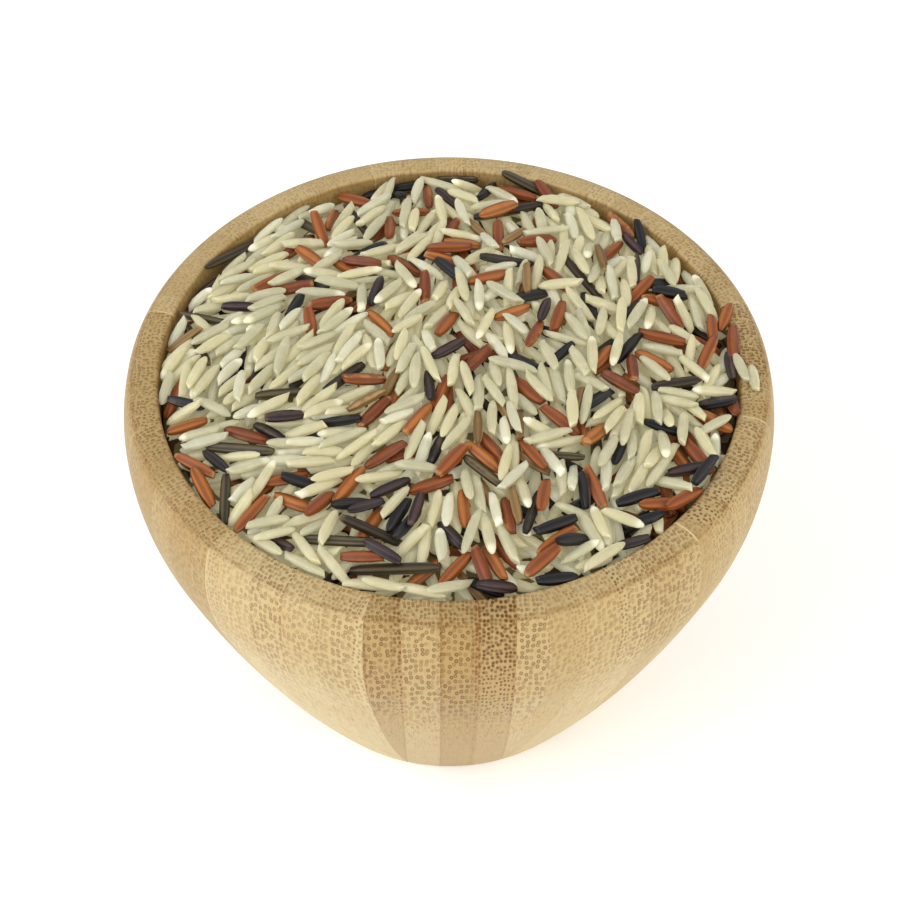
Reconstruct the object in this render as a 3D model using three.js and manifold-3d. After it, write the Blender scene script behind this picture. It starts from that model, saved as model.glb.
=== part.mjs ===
// A deep turned bamboo bowl, heaped to the rim with a dry blend of white, red, black and wild rice.
// Millimetres, +Z up. The bowl's foot rests on z = 0 and its axis is the Z axis; -Y is the front.
import * as THREE from "three";
import { mergeVertices } from "three/addons/utils/BufferGeometryUtils.js";
import Module from "manifold-3d";

// The outside of the bowl: a round shoulder under the rim, a belly, and a long taper to the foot.
const RIM_HEIGHT = 84;
const WIDEST_HEIGHT = 72.75;
const WIDEST_RADIUS = 60;
const SHOULDER_ARC = 31.8;
const BELLY_ARC = 49;
const BELLY_SLOPE = degrees(16.5);
const TAPER_SLOPE = degrees(27.3);
const FOOT_ROUNDING = 4.8;
const RIM_OUTER_ROUNDING = 3;

// The hollow: a straight lip, a rounded wall that follows the outside, and a flat floor.
const RIM_INNER_RADIUS = 52.8;
const RIM_INNER_ROUNDING = 0.8;
const LIP_DEPTH = 13;
const HOLLOW_ARC = 70;
const HOLLOW_SLOPE = degrees(25);
const FLOOR_HEIGHT = 10;
const FLOOR_ROUNDING = 14;
const TURNED_SEGMENTS = 64;

// The heap: how far it stands above the rim in the middle and below it at the wall, and how much
// deeper it lies towards its low side, at the back left.
const GAP = 0.3;
const DOME_RISE = 4.6;
const EDGE_DROP = 1.2;
const LOW_SIDE_DROP = 1.4;
const LOW_SIDE_BEARING = degrees(135);
const CORE_SEGMENTS = 32;
const BUMP_SPACING = 4;
const BUMP_HEIGHT = 0.9;
const SEED = 20;

// The grains that show, from the longest kind to the commonest: how many, length and width.
const GRAINS = [
  { count: 9, length: [12, 17], width: 1.9 },
  { count: 26, length: [7, 8.4], width: 2 },
  { count: 20, length: [6.6, 7.8], width: 1.9 },
  { count: 106, length: [6.2, 7.6], width: 1.85 },
];
const GRAIN_SIDES = 5;
const GRAIN_FLATNESS = 0.85;
const GRAIN_LIFT = 0.24;
const SINK_STEP = 0.15;
const LEAST_HOLD = 0.1;
const DRAWS_PER_GRAIN = 14;
const MOST_TILT = degrees(14);

// At the right a black grain leans on the wall, and two white ones beside it lie on the rim:
// their ends, as across, along and height above the rim.
const RIM_GRAINS = [
  { from: [50.9, 3, 0], to: [51.3, -4, 0.2], width: 2 },
  { from: [52, 1.6, 0.8], to: [53.6, -5.2, 1.5], width: 2 },
  { from: [54.7, -1.1, 1.3], to: [55, -7.4, 1.3], width: 2 },
];

const wasm = await Module();
wasm.setup();

function degrees(angle) {
  return (angle * Math.PI) / 180;
}

// A seeded random draw between 0 and 1, so that the heap is the same each time.
function seededDraw(seed) {
  let state = seed;
  return () => {
    state = (state + 0x6d2b79f5) | 0;
    let t = Math.imul(state ^ (state >>> 15), 1 | state);
    t = (t + Math.imul(t ^ (t >>> 7), 61 | t)) ^ t;
    return ((t ^ (t >>> 14)) >>> 0) / 4294967296;
  };
}

// Points along an arc in the (radius, height) plane, both ends included.
function arc(centreR, centreZ, radius, from, to, steps) {
  const points = [];
  for (let i = 0; i <= steps; i++) {
    const angle = from + ((to - from) * i) / steps;
    points.push(
      new THREE.Vector2(centreR + radius * Math.cos(angle), centreZ + radius * Math.sin(angle)),
    );
  }
  return points;
}

// Replaces a sharp corner by an arc that touches both of its sides.
function roundedCorner(before, corner, after, radius, steps) {
  const back = before.clone().sub(corner).normalize();
  const on = after.clone().sub(corner).normalize();
  const half = Math.acos(back.dot(on)) / 2;
  const middle = back.clone().add(on).normalize();
  const centre = corner.clone().addScaledVector(middle, radius / Math.sin(half));
  const start = corner.clone().addScaledVector(back, radius / Math.tan(half)).sub(centre);
  const end = corner.clone().addScaledVector(on, radius / Math.tan(half)).sub(centre);
  let turn = end.angle() - start.angle();
  if (turn > Math.PI) turn -= 2 * Math.PI;
  if (turn < -Math.PI) turn += 2 * Math.PI;
  return arc(centre.x, centre.y, radius, start.angle(), start.angle() + turn, steps);
}

// The outside from the axis under the foot, up to the crease at the rim's outer edge.
function outsideProfile() {
  const bellyR = WIDEST_RADIUS - BELLY_ARC;
  const bellyEndR = bellyR + BELLY_ARC * Math.cos(BELLY_SLOPE);
  const bellyEndZ = WIDEST_HEIGHT - BELLY_ARC * Math.sin(BELLY_SLOPE);
  const footTop = FOOT_ROUNDING * (1 - Math.sin(TAPER_SLOPE));
  const taperArc = (bellyEndZ - footTop) / (Math.sin(TAPER_SLOPE) - Math.sin(BELLY_SLOPE));
  const taperR = bellyEndR - taperArc * Math.cos(BELLY_SLOPE);
  const taperZ = bellyEndZ + taperArc * Math.sin(BELLY_SLOPE);
  const footR = taperR + (taperArc - FOOT_ROUNDING) * Math.cos(TAPER_SLOPE);
  const shoulderR = WIDEST_RADIUS - SHOULDER_ARC;
  const shoulderTop = Math.asin((RIM_HEIGHT - WIDEST_HEIGHT) / SHOULDER_ARC);
  return [
    new THREE.Vector2(0, 0),
    ...arc(footR, FOOT_ROUNDING, FOOT_ROUNDING, -Math.PI / 2, -TAPER_SLOPE, 3),
    ...arc(taperR, taperZ, taperArc, -TAPER_SLOPE, -BELLY_SLOPE, 4).slice(1),
    ...arc(bellyR, WIDEST_HEIGHT, BELLY_ARC, -BELLY_SLOPE, 0, 3).slice(1),
    ...arc(shoulderR, WIDEST_HEIGHT, SHOULDER_ARC, 0, shoulderTop, 4).slice(1),
  ];
}

// The hollow from its top edge down to the axis, drawn in from the wall and floor by inset.
function hollowProfile(inset, topHeight) {
  const wallR = RIM_INNER_RADIUS - inset;
  const lipEnd = RIM_HEIGHT - LIP_DEPTH;
  const arcR = HOLLOW_ARC - inset;
  const floor = FLOOR_HEIGHT + inset;
  const arcEnd = new THREE.Vector2(
    wallR - arcR * (1 - Math.cos(HOLLOW_SLOPE)),
    lipEnd - arcR * Math.sin(HOLLOW_SLOPE),
  );
  const corner = new THREE.Vector2(
    arcEnd.x - (arcEnd.y - floor) * Math.tan(HOLLOW_SLOPE),
    floor,
  );
  const axis = new THREE.Vector2(0, floor);
  return [
    new THREE.Vector2(wallR, topHeight),
    ...arc(wallR - arcR, lipEnd, arcR, 0, -HOLLOW_SLOPE, 3),
    ...roundedCorner(arcEnd, corner, axis, FLOOR_ROUNDING - inset, 3),
    axis,
  ];
}

// A body of revolution about Z from a profile that starts and ends on the axis.
function turned(profile, segments) {
  return new THREE.LatheGeometry(profile, segments).rotateX(Math.PI / 2);
}

function solidOf(geometry) {
  const bare = geometry.clone();
  bare.deleteAttribute("normal");
  bare.deleteAttribute("uv");
  const merged = mergeVertices(bare, 1e-4);
  return new wasm.Manifold(
    new wasm.Mesh({
      numProp: 3,
      vertProperties: new Float32Array(merged.attributes.position.array),
      triVerts: new Uint32Array(merged.index.array),
    }),
  );
}

function geometryOf(solid) {
  const mesh = solid.getMesh();
  const geometry = new THREE.BufferGeometry();
  geometry.setAttribute("position", new THREE.BufferAttribute(mesh.vertProperties, 3));
  geometry.setIndex(new THREE.BufferAttribute(mesh.triVerts, 1));
  geometry.computeVertexNormals();
  return geometry;
}

function bowlGeometry() {
  const outside = outsideProfile();
  const crease = outside.pop();
  const inside = hollowProfile(0, RIM_HEIGHT);
  const lip = inside.shift();
  return turned(
    [
      ...outside,
      ...roundedCorner(outside.at(-1), crease, lip, RIM_OUTER_ROUNDING, 2),
      ...roundedCorner(crease, lip, inside[0], RIM_INNER_ROUNDING, 2),
      ...inside,
    ],
    TURNED_SEGMENTS,
  );
}

// Height of the heap's even surface: a low dome that lies a little deeper on its low side.
function heapHeight(x, y) {
  const out = Math.min(1, Math.hypot(x, y) / RIM_INNER_RADIUS);
  const low = x * Math.cos(LOW_SIDE_BEARING) + y * Math.sin(LOW_SIDE_BEARING);
  const drop = DOME_RISE + EDGE_DROP + (LOW_SIDE_DROP * low) / RIM_INNER_RADIUS;
  return RIM_HEIGHT + DOME_RISE - drop * out ** 2;
}

// The core: everything below the grains that show, with bumps of a grain's size on its top.
function coreSolid(draw) {
  const above = RIM_HEIGHT + 2 * DOME_RISE;
  const profile = [new THREE.Vector2(0, above), ...hollowProfile(GAP, above)];
  const wall = solidOf(turned(profile.reverse(), CORE_SEGMENTS));
  const side = 2 * WIDEST_RADIUS;
  const cells = Math.round(side / BUMP_SPACING);
  const block = new THREE.BoxGeometry(side, side, RIM_HEIGHT, cells, cells, 1);
  block.translate(0, 0, RIM_HEIGHT / 2);
  const position = block.attributes.position;
  const bumps = new Map();
  for (let i = 0; i < position.count; i++) {
    if (position.getZ(i) < RIM_HEIGHT / 2) continue;
    const x = position.getX(i);
    const y = position.getY(i);
    const key = `${x.toFixed(2)} ${y.toFixed(2)}`;
    if (!bumps.has(key)) bumps.set(key, (draw() - 0.6) * BUMP_HEIGHT);
    position.setZ(i, heapHeight(x, y) + bumps.get(key));
  }
  return wall.intersect(solidOf(block));
}

// One grain: a spindle along X with five sides, blunter at one end, and slightly flat.
function grainGeometry(length, width) {
  const radius = width / 2;
  const grain = turned(
    [
      new THREE.Vector2(0, -length / 2),
      new THREE.Vector2(radius, -length * 0.24),
      new THREE.Vector2(radius, length * 0.2),
      new THREE.Vector2(0, length / 2),
    ],
    GRAIN_SIDES,
  );
  return grain.rotateY(Math.PI / 2).scale(1, 1, GRAIN_FLATNESS);
}

// Lays a grain between two points.
function laidGrain(from, to, width) {
  const along = to.clone().sub(from);
  const turn = new THREE.Quaternion().setFromUnitVectors(
    new THREE.Vector3(1, 0, 0),
    along.clone().normalize(),
  );
  const centre = from.clone().add(to).multiplyScalar(0.5);
  return grainGeometry(along.length(), width)
    .applyQuaternion(turn)
    .translate(centre.x, centre.y, centre.z);
}

// A grain that would hang in the air sinks until the core holds it.
function heldGrain(core, from, to, width) {
  for (;;) {
    const grain = solidOf(laidGrain(from, to, width));
    if (core.intersect(grain).volume() > LEAST_HOLD) return grain;
    from.z -= SINK_STEP;
    to.z -= SINK_STEP;
  }
}

// A grain's end may go as near the wall as the gap lets it.
function clearOfBowl(end, width) {
  return Math.hypot(end.x, end.y) + width * 0.5 < RIM_INNER_RADIUS - GAP;
}

// Spreads the grains evenly: each one takes the emptiest of several drawn places.
function heapSolid() {
  const draw = seededDraw(SEED);
  const taken = [];
  const core = coreSolid(draw);
  let heap = core;
  for (const kind of GRAINS) {
    for (let n = 0; n < kind.count; n++) {
      const length = kind.length[0] + (kind.length[1] - kind.length[0]) * draw();
      let best = null;
      for (let tries = 0; tries < DRAWS_PER_GRAIN; tries++) {
        const r = RIM_INNER_RADIUS * Math.sqrt(draw());
        const bearing = 2 * Math.PI * draw();
        const heading = 2 * Math.PI * draw();
        const tilt = MOST_TILT * (2 * draw() - 1);
        const x = r * Math.cos(bearing);
        const y = r * Math.sin(bearing);
        const half = new THREE.Vector3(Math.cos(heading), Math.sin(heading), 0);
        half.multiplyScalar(length / 2);
        const from = new THREE.Vector3(x - half.x, y - half.y, 0);
        const to = new THREE.Vector3(x + half.x, y + half.y, 0);
        if (!clearOfBowl(from, kind.width) || !clearOfBowl(to, kind.width)) continue;
        const lift = kind.width * GRAIN_LIFT;
        const rise = (length / 2) * Math.sin(tilt);
        from.z = (heapHeight(from.x, from.y) + heapHeight(x, y)) / 2 + lift - rise;
        to.z = (heapHeight(to.x, to.y) + heapHeight(x, y)) / 2 + lift + rise;
        let room = Infinity;
        for (const other of taken) room = Math.min(room, Math.hypot(x - other.x, y - other.y));
        if (!best || room > best.room) best = { room, x, y, from, to };
      }
      if (!best) continue;
      taken.push(best);
      heap = heap.add(heldGrain(core, best.from, best.to, kind.width));
    }
  }
  for (const grain of RIM_GRAINS) {
    const rim = new THREE.Vector3(0, 0, RIM_HEIGHT);
    const from = new THREE.Vector3(...grain.from).add(rim);
    const to = new THREE.Vector3(...grain.to).add(rim);
    heap = heap.add(solidOf(laidGrain(from, to, grain.width)));
  }
  return heap;
}

function namedMesh(name, geometry, color, roughness) {
  const material = new THREE.MeshStandardMaterial({ color, roughness, metalness: 0 });
  const mesh = new THREE.Mesh(geometry, material);
  mesh.name = name;
  return mesh;
}

const part = new THREE.Group();
part.add(namedMesh("bowl", bowlGeometry(), 0xd2b184, 0.5));
part.add(namedMesh("rice_blend", geometryOf(heapSolid()), 0xc9c6a3, 0.55));
export default part;
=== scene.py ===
# %% [markdown]
# # A bamboo bowl heaped with a dry wild rice blend
# This lesson dresses a measured model of a bowl of rice. The plain solids come in as a fixed
# frame. Around them we turn a smooth bowl, lay nearly fifteen hundred grains on a core, and give
# each kind of grain and the bamboo a procedural material.

# %% Load the frame
import math

import bpy
import numpy as np
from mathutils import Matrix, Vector


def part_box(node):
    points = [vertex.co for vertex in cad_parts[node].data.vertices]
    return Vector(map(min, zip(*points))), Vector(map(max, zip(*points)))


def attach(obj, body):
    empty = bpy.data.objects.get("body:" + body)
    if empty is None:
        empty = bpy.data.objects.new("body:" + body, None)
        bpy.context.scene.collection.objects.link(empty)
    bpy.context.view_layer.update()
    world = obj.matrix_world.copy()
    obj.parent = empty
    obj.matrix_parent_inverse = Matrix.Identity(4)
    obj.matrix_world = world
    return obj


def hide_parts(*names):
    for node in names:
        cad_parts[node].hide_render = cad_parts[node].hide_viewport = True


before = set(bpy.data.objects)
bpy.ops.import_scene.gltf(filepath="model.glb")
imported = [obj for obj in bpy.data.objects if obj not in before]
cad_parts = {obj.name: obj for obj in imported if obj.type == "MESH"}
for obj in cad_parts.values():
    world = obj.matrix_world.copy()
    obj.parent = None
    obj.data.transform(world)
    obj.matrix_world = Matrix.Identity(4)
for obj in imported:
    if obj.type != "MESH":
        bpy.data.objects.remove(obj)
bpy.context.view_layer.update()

# %% [markdown]
# ## Helpers for node trees
# A material or a Geometry Nodes tree is a graph. Wired by hand, a node takes four lines and the
# idea gets lost. So one small helper adds a node and wires or sets its inputs in a single line,
# and each of the others stands for one thing that the finishes below need again and again.

# %% Helpers for node trees
MM = 0.001


def node(tree, kind, inputs=None, **settings):
    """Adds a node, applies its settings, and wires or sets each input that is given."""
    made = tree.nodes.new(kind)
    for name, value in settings.items():
        setattr(made, name, value)
    for name, value in (inputs or {}).items():
        socket = made.inputs[name]
        if isinstance(value, bpy.types.NodeSocket):
            tree.links.new(value, socket)
        else:
            socket.default_value = value
    return made


def calc(tree, operation, *values):
    """One Math node; each value is a number or another node's output."""
    return node(tree, "ShaderNodeMath", dict(enumerate(values)), operation=operation).outputs[0]


def product(tree, *values):
    """All the values multiplied together."""
    made = values[0]
    for value in values[1:]:
        made = calc(tree, "MULTIPLY", made, value)
    return made


def step(tree, value, low, high, bottom=0.0, top=1.0):
    """A smooth step from bottom to top while value goes from low to high."""
    made = node(tree, "ShaderNodeMapRange",
                {"Value": value, "From Min": low, "From Max": high,
                 "To Min": bottom, "To Max": top},
                interpolation_type="SMOOTHSTEP")
    return made.outputs[0]


def between(tree, factor, first, second):
    """The number that lies between two others as a factor goes from 0 to 1."""
    return node(tree, "ShaderNodeMix", {"Factor": factor, "A": first, "B": second}).outputs[0]


# %% Helpers for vectors and noise
def vector(tree, x=0.0, y=0.0, z=0.0):
    """A vector put together from its parts."""
    return node(tree, "ShaderNodeCombineXYZ", {0: x, 1: y, 2: z}).outputs[0]


def parts_of(tree, whole):
    """The three parts of a vector."""
    return node(tree, "ShaderNodeSeparateXYZ", {0: whole}).outputs


def stretched(tree, whole, factor):
    """A vector made longer or shorter by a factor."""
    return node(tree, "ShaderNodeVectorMath", {0: whole, "Scale": factor},
                operation="SCALE").outputs[0]


def clouds(tree, where, scale, detail=2.0):
    """Soft noise from 0 to 1, in clouds about 1 / scale across."""
    return node(tree, "ShaderNodeTexNoise",
                {"Vector": where, "Scale": scale, "Detail": detail}).outputs[0]


# %% [markdown]
# ## Helpers for colour
# Colours were judged on a screen, where numbers from 0 to 255 follow the eye. Materials work
# with the light itself, so each colour is turned into linear values once, where it is written.

# %% Helpers for colour
def from_screen(red, green, blue):
    """A colour seen on a screen, 0 to 255, as the linear values that materials use."""
    return tuple(((c / 255 + 0.055) / 1.055) ** 2.4 if c > 10 else c / 255 / 12.92
                 for c in (red, green, blue))


print("a middle grey on the screen is", round(from_screen(128, 128, 128)[0], 3), "of white's light")


def blend(tree, factor, first, second):
    """Mixes two colours by a factor."""
    made = node(tree, "ShaderNodeMix", {"Factor": factor}, data_type="RGBA")
    for name, value in (("A", first), ("B", second)):
        socket = next(s for s in made.inputs if s.name == name and s.type == "RGBA")
        if isinstance(value, bpy.types.NodeSocket):
            tree.links.new(value, socket)
        else:
            socket.default_value = (*value, 1.0)
    return next(s for s in made.outputs if s.type == "RGBA")


def colour_ramp(tree, position, colours, places, interpolation):
    """A colour that follows a row of linear colours, each with its place from 0 to 1."""
    made = node(tree, "ShaderNodeValToRGB", {"Fac": position})
    ramp = made.color_ramp
    ramp.interpolation = interpolation
    while len(ramp.elements) < len(colours):
        ramp.elements.new(1.0)
    for i, colour in enumerate(colours):
        ramp.elements[i].position = places[i]
        ramp.elements[i].color = (*colour, 1)
    return made.outputs["Color"]


def new_material(name):
    """A fresh material, with its tree and its shader."""
    material = bpy.data.materials.new(name)
    material.use_nodes = True
    return material, material.node_tree, material.node_tree.nodes["Principled BSDF"]


# %% [markdown]
# ## Finished pieces
# Every piece ends the same way: it rides on the one body and stands for a solid of the frame, which
# it hides. One helper does it, so that no piece can miss a step.

# %% Finished pieces
def finish_piece(piece, stands_for):
    """Ties a finished piece to the frame."""
    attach(piece, "root")
    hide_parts(stands_for)
    print(piece.name, len(piece.data.polygons), "faces")


# %% [markdown]
# ## The bowl's section
# The real bowl is glued up from bamboo strips and turned on a lathe, so one section says all
# about its shape: a softly rounded rim, a shoulder, a belly, a long taper and a narrow foot.
# Arcs that touch each other give it as a turner would cut it.

# %% The bowl's section
# Heights are from the foot up and radii from the axis, in mm.
RIM_HEIGHT = 84.0
WIDEST_HEIGHT = 72.75
WIDEST_RADIUS = 60.0
SHOULDER_ARC = 31.8
BELLY_ARC = 49.0
BELLY_SLOPE = math.radians(16.5)
TAPER_SLOPE = math.radians(27.3)
FOOT_ROUNDING = 4.8
RIM_OUTER_ROUNDING = 3.0
RIM_INNER_RADIUS = 52.8
RIM_INNER_ROUNDING = 0.8
LIP_DEPTH = 13.0
HOLLOW_ARC = 70.0
HOLLOW_SLOPE = math.radians(25)
FLOOR_HEIGHT = 10.0
FLOOR_ROUNDING = 14.0
# Points of the shoulder that lie less than this below the rim's rounding are dropped.
EDGE_CLEARANCE = 0.2
print("bowl", 2 * WIDEST_RADIUS, "mm wide and", RIM_HEIGHT, "mm high")


def arc(centre, radius, start, end, steps):
    """Points along an arc, from one angle to another."""
    turn = np.linspace(start, end, steps + 1)
    return [(centre[0] + radius * math.cos(t), centre[1] + radius * math.sin(t)) for t in turn]


def rounded_corner(before, corner, after, radius, steps):
    """Replaces a corner of the section by an arc that touches both of its sides."""
    before, corner, after = (np.array(p, float) for p in (before, corner, after))
    back = (before - corner) / np.linalg.norm(before - corner)
    on = (after - corner) / np.linalg.norm(after - corner)
    half = math.acos(back @ on) / 2
    centre = corner + (back + on) / np.linalg.norm(back + on) * radius / math.sin(half)
    first = corner + back * radius / math.tan(half) - centre
    last = corner + on * radius / math.tan(half) - centre
    start = math.atan2(first[1], first[0])
    turn = (math.atan2(last[1], last[0]) - start + math.pi) % (2 * math.pi) - math.pi
    return arc(centre, radius, start, start + turn, steps)


def along(first, last, steps):
    """Points between two points of the section, without the ends."""
    return [tuple(np.array(first) + (np.array(last) - np.array(first)) * i / steps)
            for i in range(1, steps)]


# %% The bowl's section, from the foot's middle round to the hollow's
def bowl_outside():
    """The foot, the taper, the belly and the shoulder, up to the sharp crease below the rim."""
    belly_x = WIDEST_RADIUS - BELLY_ARC
    belly_end = (belly_x + BELLY_ARC * math.cos(BELLY_SLOPE),
                 WIDEST_HEIGHT - BELLY_ARC * math.sin(BELLY_SLOPE))
    foot_top = FOOT_ROUNDING * (1 - math.sin(TAPER_SLOPE))
    taper_arc = (belly_end[1] - foot_top) / (math.sin(TAPER_SLOPE) - math.sin(BELLY_SLOPE))
    taper = (belly_end[0] - taper_arc * math.cos(BELLY_SLOPE),
             belly_end[1] + taper_arc * math.sin(BELLY_SLOPE))
    foot_x = taper[0] + (taper_arc - FOOT_ROUNDING) * math.cos(TAPER_SLOPE)
    shoulder_top = math.asin((RIM_HEIGHT - WIDEST_HEIGHT) / SHOULDER_ARC)
    shoulder_x = WIDEST_RADIUS - SHOULDER_ARC
    outside = [(0.0, 0.0), *along((0, 0), (foot_x, 0), 8)]
    outside += arc((foot_x, FOOT_ROUNDING), FOOT_ROUNDING, -math.pi / 2, -TAPER_SLOPE, 8)
    outside += arc(taper, taper_arc, -TAPER_SLOPE, -BELLY_SLOPE, 28)[1:]
    outside += arc((belly_x, WIDEST_HEIGHT), BELLY_ARC, -BELLY_SLOPE, 0, 10)[1:]
    outside += arc((shoulder_x, WIDEST_HEIGHT), SHOULDER_ARC, 0, shoulder_top, 10)[1:]
    return outside


def bowl_section():
    """The whole section: the outside, the rim with its two rounded edges, and the hollow."""
    outside = bowl_outside()
    crease = outside.pop()
    lip = (RIM_INNER_RADIUS, RIM_HEIGHT)
    lip_end = (RIM_INNER_RADIUS, RIM_HEIGHT - LIP_DEPTH)
    outer_edge = rounded_corner(outside[-1], crease, lip, RIM_OUTER_ROUNDING, 8)
    while outside[-1][1] > outer_edge[0][1] - EDGE_CLEARANCE:
        outside.pop()
    inner_edge = rounded_corner(crease, lip, lip_end, RIM_INNER_ROUNDING, 6)
    wall = arc((RIM_INNER_RADIUS - HOLLOW_ARC, lip_end[1]), HOLLOW_ARC, 0, -HOLLOW_SLOPE, 12)
    corner = (wall[-1][0] - (wall[-1][1] - FLOOR_HEIGHT) * math.tan(HOLLOW_SLOPE), FLOOR_HEIGHT)
    floor = rounded_corner(wall[-1], corner, (0, FLOOR_HEIGHT), FLOOR_ROUNDING, 10)
    return (outside + outer_edge + along(outer_edge[-1], inner_edge[0], 4) + inner_edge
            + along(inner_edge[-1], wall[0], 6) + wall + floor
            + along(floor[-1], (0, FLOOR_HEIGHT), 6) + [(0.0, FLOOR_HEIGHT)])


section = bowl_section()
print("section points", len(section))

# %% [markdown]
# ## A Geometry Nodes helper
# The bowl and the grains are both made by a tree of Geometry Nodes. The export can't keep live
# trees or instances, so a tree is run once on a carrier object and its result is taken off as a
# plain mesh. A modifier's input is known by its socket's identifier, not by its name.

# %% A Geometry Nodes helper
def geometry_tree(name, inputs):
    """A new tree with a geometry in and out, and the named inputs as (name, type, default)."""
    tree = bpy.data.node_groups.new(name, "GeometryNodeTree")
    tree.interface.new_socket("Geometry", in_out="INPUT", socket_type="NodeSocketGeometry")
    for label, kind, default in inputs:
        socket = tree.interface.new_socket(label, in_out="INPUT", socket_type=kind)
        if default is not None:
            socket.default_value = default
    tree.interface.new_socket("Geometry", in_out="OUTPUT", socket_type="NodeSocketGeometry")
    return tree, node(tree, "NodeGroupInput"), node(tree, "NodeGroupOutput")


def run_tree(name, start_mesh, tree, values):
    """Runs a tree on a mesh with the given inputs, and returns the result as a plain object."""
    carrier = bpy.data.objects.new(name + "_carrier", start_mesh)
    bpy.context.scene.collection.objects.link(carrier)
    modifier = carrier.modifiers.new("nodes", "NODES")
    modifier.node_group = tree
    sockets = {item.name: item.identifier for item in tree.interface.items_tree
               if item.in_out == "INPUT"}
    for label, value in values.items():
        modifier[sockets[label]] = value
    evaluated = carrier.evaluated_get(bpy.context.evaluated_depsgraph_get())
    mesh = bpy.data.meshes.new_from_object(evaluated)
    bpy.data.objects.remove(carrier)
    mesh.name = name
    made = bpy.data.objects.new(name, mesh)
    bpy.context.scene.collection.objects.link(made)
    return made


def end_tree(tree, geometry, given, result):
    """Ends a tree: instances become real mesh, and the mesh gets its material."""
    realized = node(tree, "GeometryNodeRealizeInstances", {"Geometry": geometry})
    coloured = node(tree, "GeometryNodeSetMaterial", {
        "Geometry": realized.outputs[0], "Material": given.outputs["Material"]})
    tree.links.new(coloured.outputs[0], result.inputs[0])


# %% [markdown]
# ## Turning the bowl
# A lathe follows a rule, so Geometry Nodes can do it; a Screw or Spin would do as well, but a
# tree keeps the section and the number of steps as named inputs. A flat grid has one column for
# each step round the bowl and one row for each point of the section. Set Position bends it: a
# column becomes a bearing, and a row looks up its radius and height in the section. The seam and
# the poles are then merged, so the skin is closed.

# %% Turning the bowl
TURNED_SEGMENTS = 320
SEAM_MERGE = 1e-6


def lathe_tree():
    """Turns the section that comes in as a row of points."""
    tree, given, result = geometry_tree("lathe", [
        ("Rows", "NodeSocketInt", 2),
        ("Segments", "NodeSocketInt", 64),
        ("Material", "NodeSocketMaterial", None),
    ])
    columns = calc(tree, "ADD", given.outputs["Segments"], 1)
    grid = node(tree, "GeometryNodeMeshGrid", {
        "Size X": 1.0, "Size Y": 1.0,
        "Vertices X": columns, "Vertices Y": given.outputs["Rows"]})
    position = node(tree, "GeometryNodeInputPosition").outputs[0]
    place = parts_of(tree, position)
    bearing = product(tree, calc(tree, "ADD", place[0], 0.5), 2 * math.pi)
    last_row = calc(tree, "SUBTRACT", given.outputs["Rows"], 1)
    row = calc(tree, "ROUND", product(tree, calc(tree, "ADD", place[1], 0.5), last_row))
    lookup = node(tree, "GeometryNodeSampleIndex", {
        "Geometry": given.outputs["Geometry"], "Value": position, "Index": row},
        data_type="FLOAT_VECTOR")
    point = parts_of(tree, lookup.outputs["Value"])
    bent = vector(tree, product(tree, point[0], calc(tree, "COSINE", bearing)),
                  product(tree, point[0], calc(tree, "SINE", bearing)), point[2])
    placed = node(tree, "GeometryNodeSetPosition",
                  {"Geometry": grid.outputs["Mesh"], "Position": bent})
    closed = node(tree, "GeometryNodeMergeByDistance",
                  {"Geometry": placed.outputs[0], "Distance": SEAM_MERGE})
    smooth = node(tree, "GeometryNodeSetShadeSmooth", {"Geometry": closed.outputs[0]})
    end_tree(tree, smooth.outputs[0], given, result)
    return tree


def volume_of(mesh):
    """The volume a closed mesh holds; it is negative when the faces point inwards."""
    mesh.calc_loop_triangles()
    corners = np.array([v.co for v in mesh.vertices])
    a, b, c = corners[np.array([t.vertices for t in mesh.loop_triangles])].transpose(1, 0, 2)
    return float(np.einsum("ij,ij->i", a, np.cross(b, c)).sum() / 6)


# %% The turned bowl
bamboo, bamboo_tree, bamboo_shader = new_material("bamboo")
section_mesh = bpy.data.meshes.new("section")
section_mesh.from_pydata([(x * MM, 0, z * MM) for x, z in section], [], [])
bowl = run_tree("turned_bowl", section_mesh, lathe_tree(), {
    "Rows": len(section), "Segments": TURNED_SEGMENTS, "Material": bamboo})
if volume_of(bowl.data) < 0:
    bowl.data.flip_normals()
print("bowl holds", round(volume_of(bowl.data) * 1e6, 1), "cubic centimetres of bamboo")
finish_piece(bowl, "bowl")

# %% [markdown]
# ## Bamboo: how the bowl is glued up
# Each of the twelve staves is a block of strips glued side by side, with the fibres leaning
# outwards. No two blocks have the same tone, so the real bowl is a patchwork. One number could be
# drawn for each block, but then the front stave would be a chance one. So the tones, the strength
# of the marks and the glue lines that show are judged and written down, and the strips that nobody
# can compare are drawn.

# %% Bamboo: how the bowl is glued up
STAVES = 12
STAVE_PITCH = 2 * math.pi / STAVES
# The joint on the right of the front stave, and that stave's number.
FIRST_JOINT = math.radians(16.2)
FRONT_STAVE = -1
# In mm: how wide a strip is, and how far the front stave's strips are off its middle.
STRIP_PITCH = 6.32
FRONT_STRIP_OFFSET = 2.72
FIBRE_LEAN = math.radians(35)
LEAN_SPREAD = math.radians(4)
STAVE_SEED = 31.0
# The rim's face begins between these heights.
RIM_FACE = (RIM_HEIGHT - 1.3, RIM_HEIGHT - 0.5)

# Each list goes round from the stave or joint behind on the left, by the front, to the one behind
# on the right. First, how light each stave is: its own tone, and on the front stave and the three
# to its right also painted shade, because that side gets less light.
STAVE_TONES_AND_SHADE = [0.7, 0.5, 0.0, 0.0, 1.0, 0.05, 0.6, 0.45, 0.25, 0.5, 0.6, 0.7]
# How strongly the bundles mark each stave's wall, which is sanded smoother on the sides, and how
# strongly they mark its rim.
MARKS_ON_WALL = [0.5, 0.5, 0.55, 0.55, 0.7, 0.95, 0.7, 0.5, 0.5, 0.5, 0.5, 0.5]
MARKS_ON_RIM = [0.5, 0.6, 1.1, 1.0, 0.9, 1.0, 0.85, 0.95, 1.1, 0.8, 0.6, 0.5]
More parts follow.
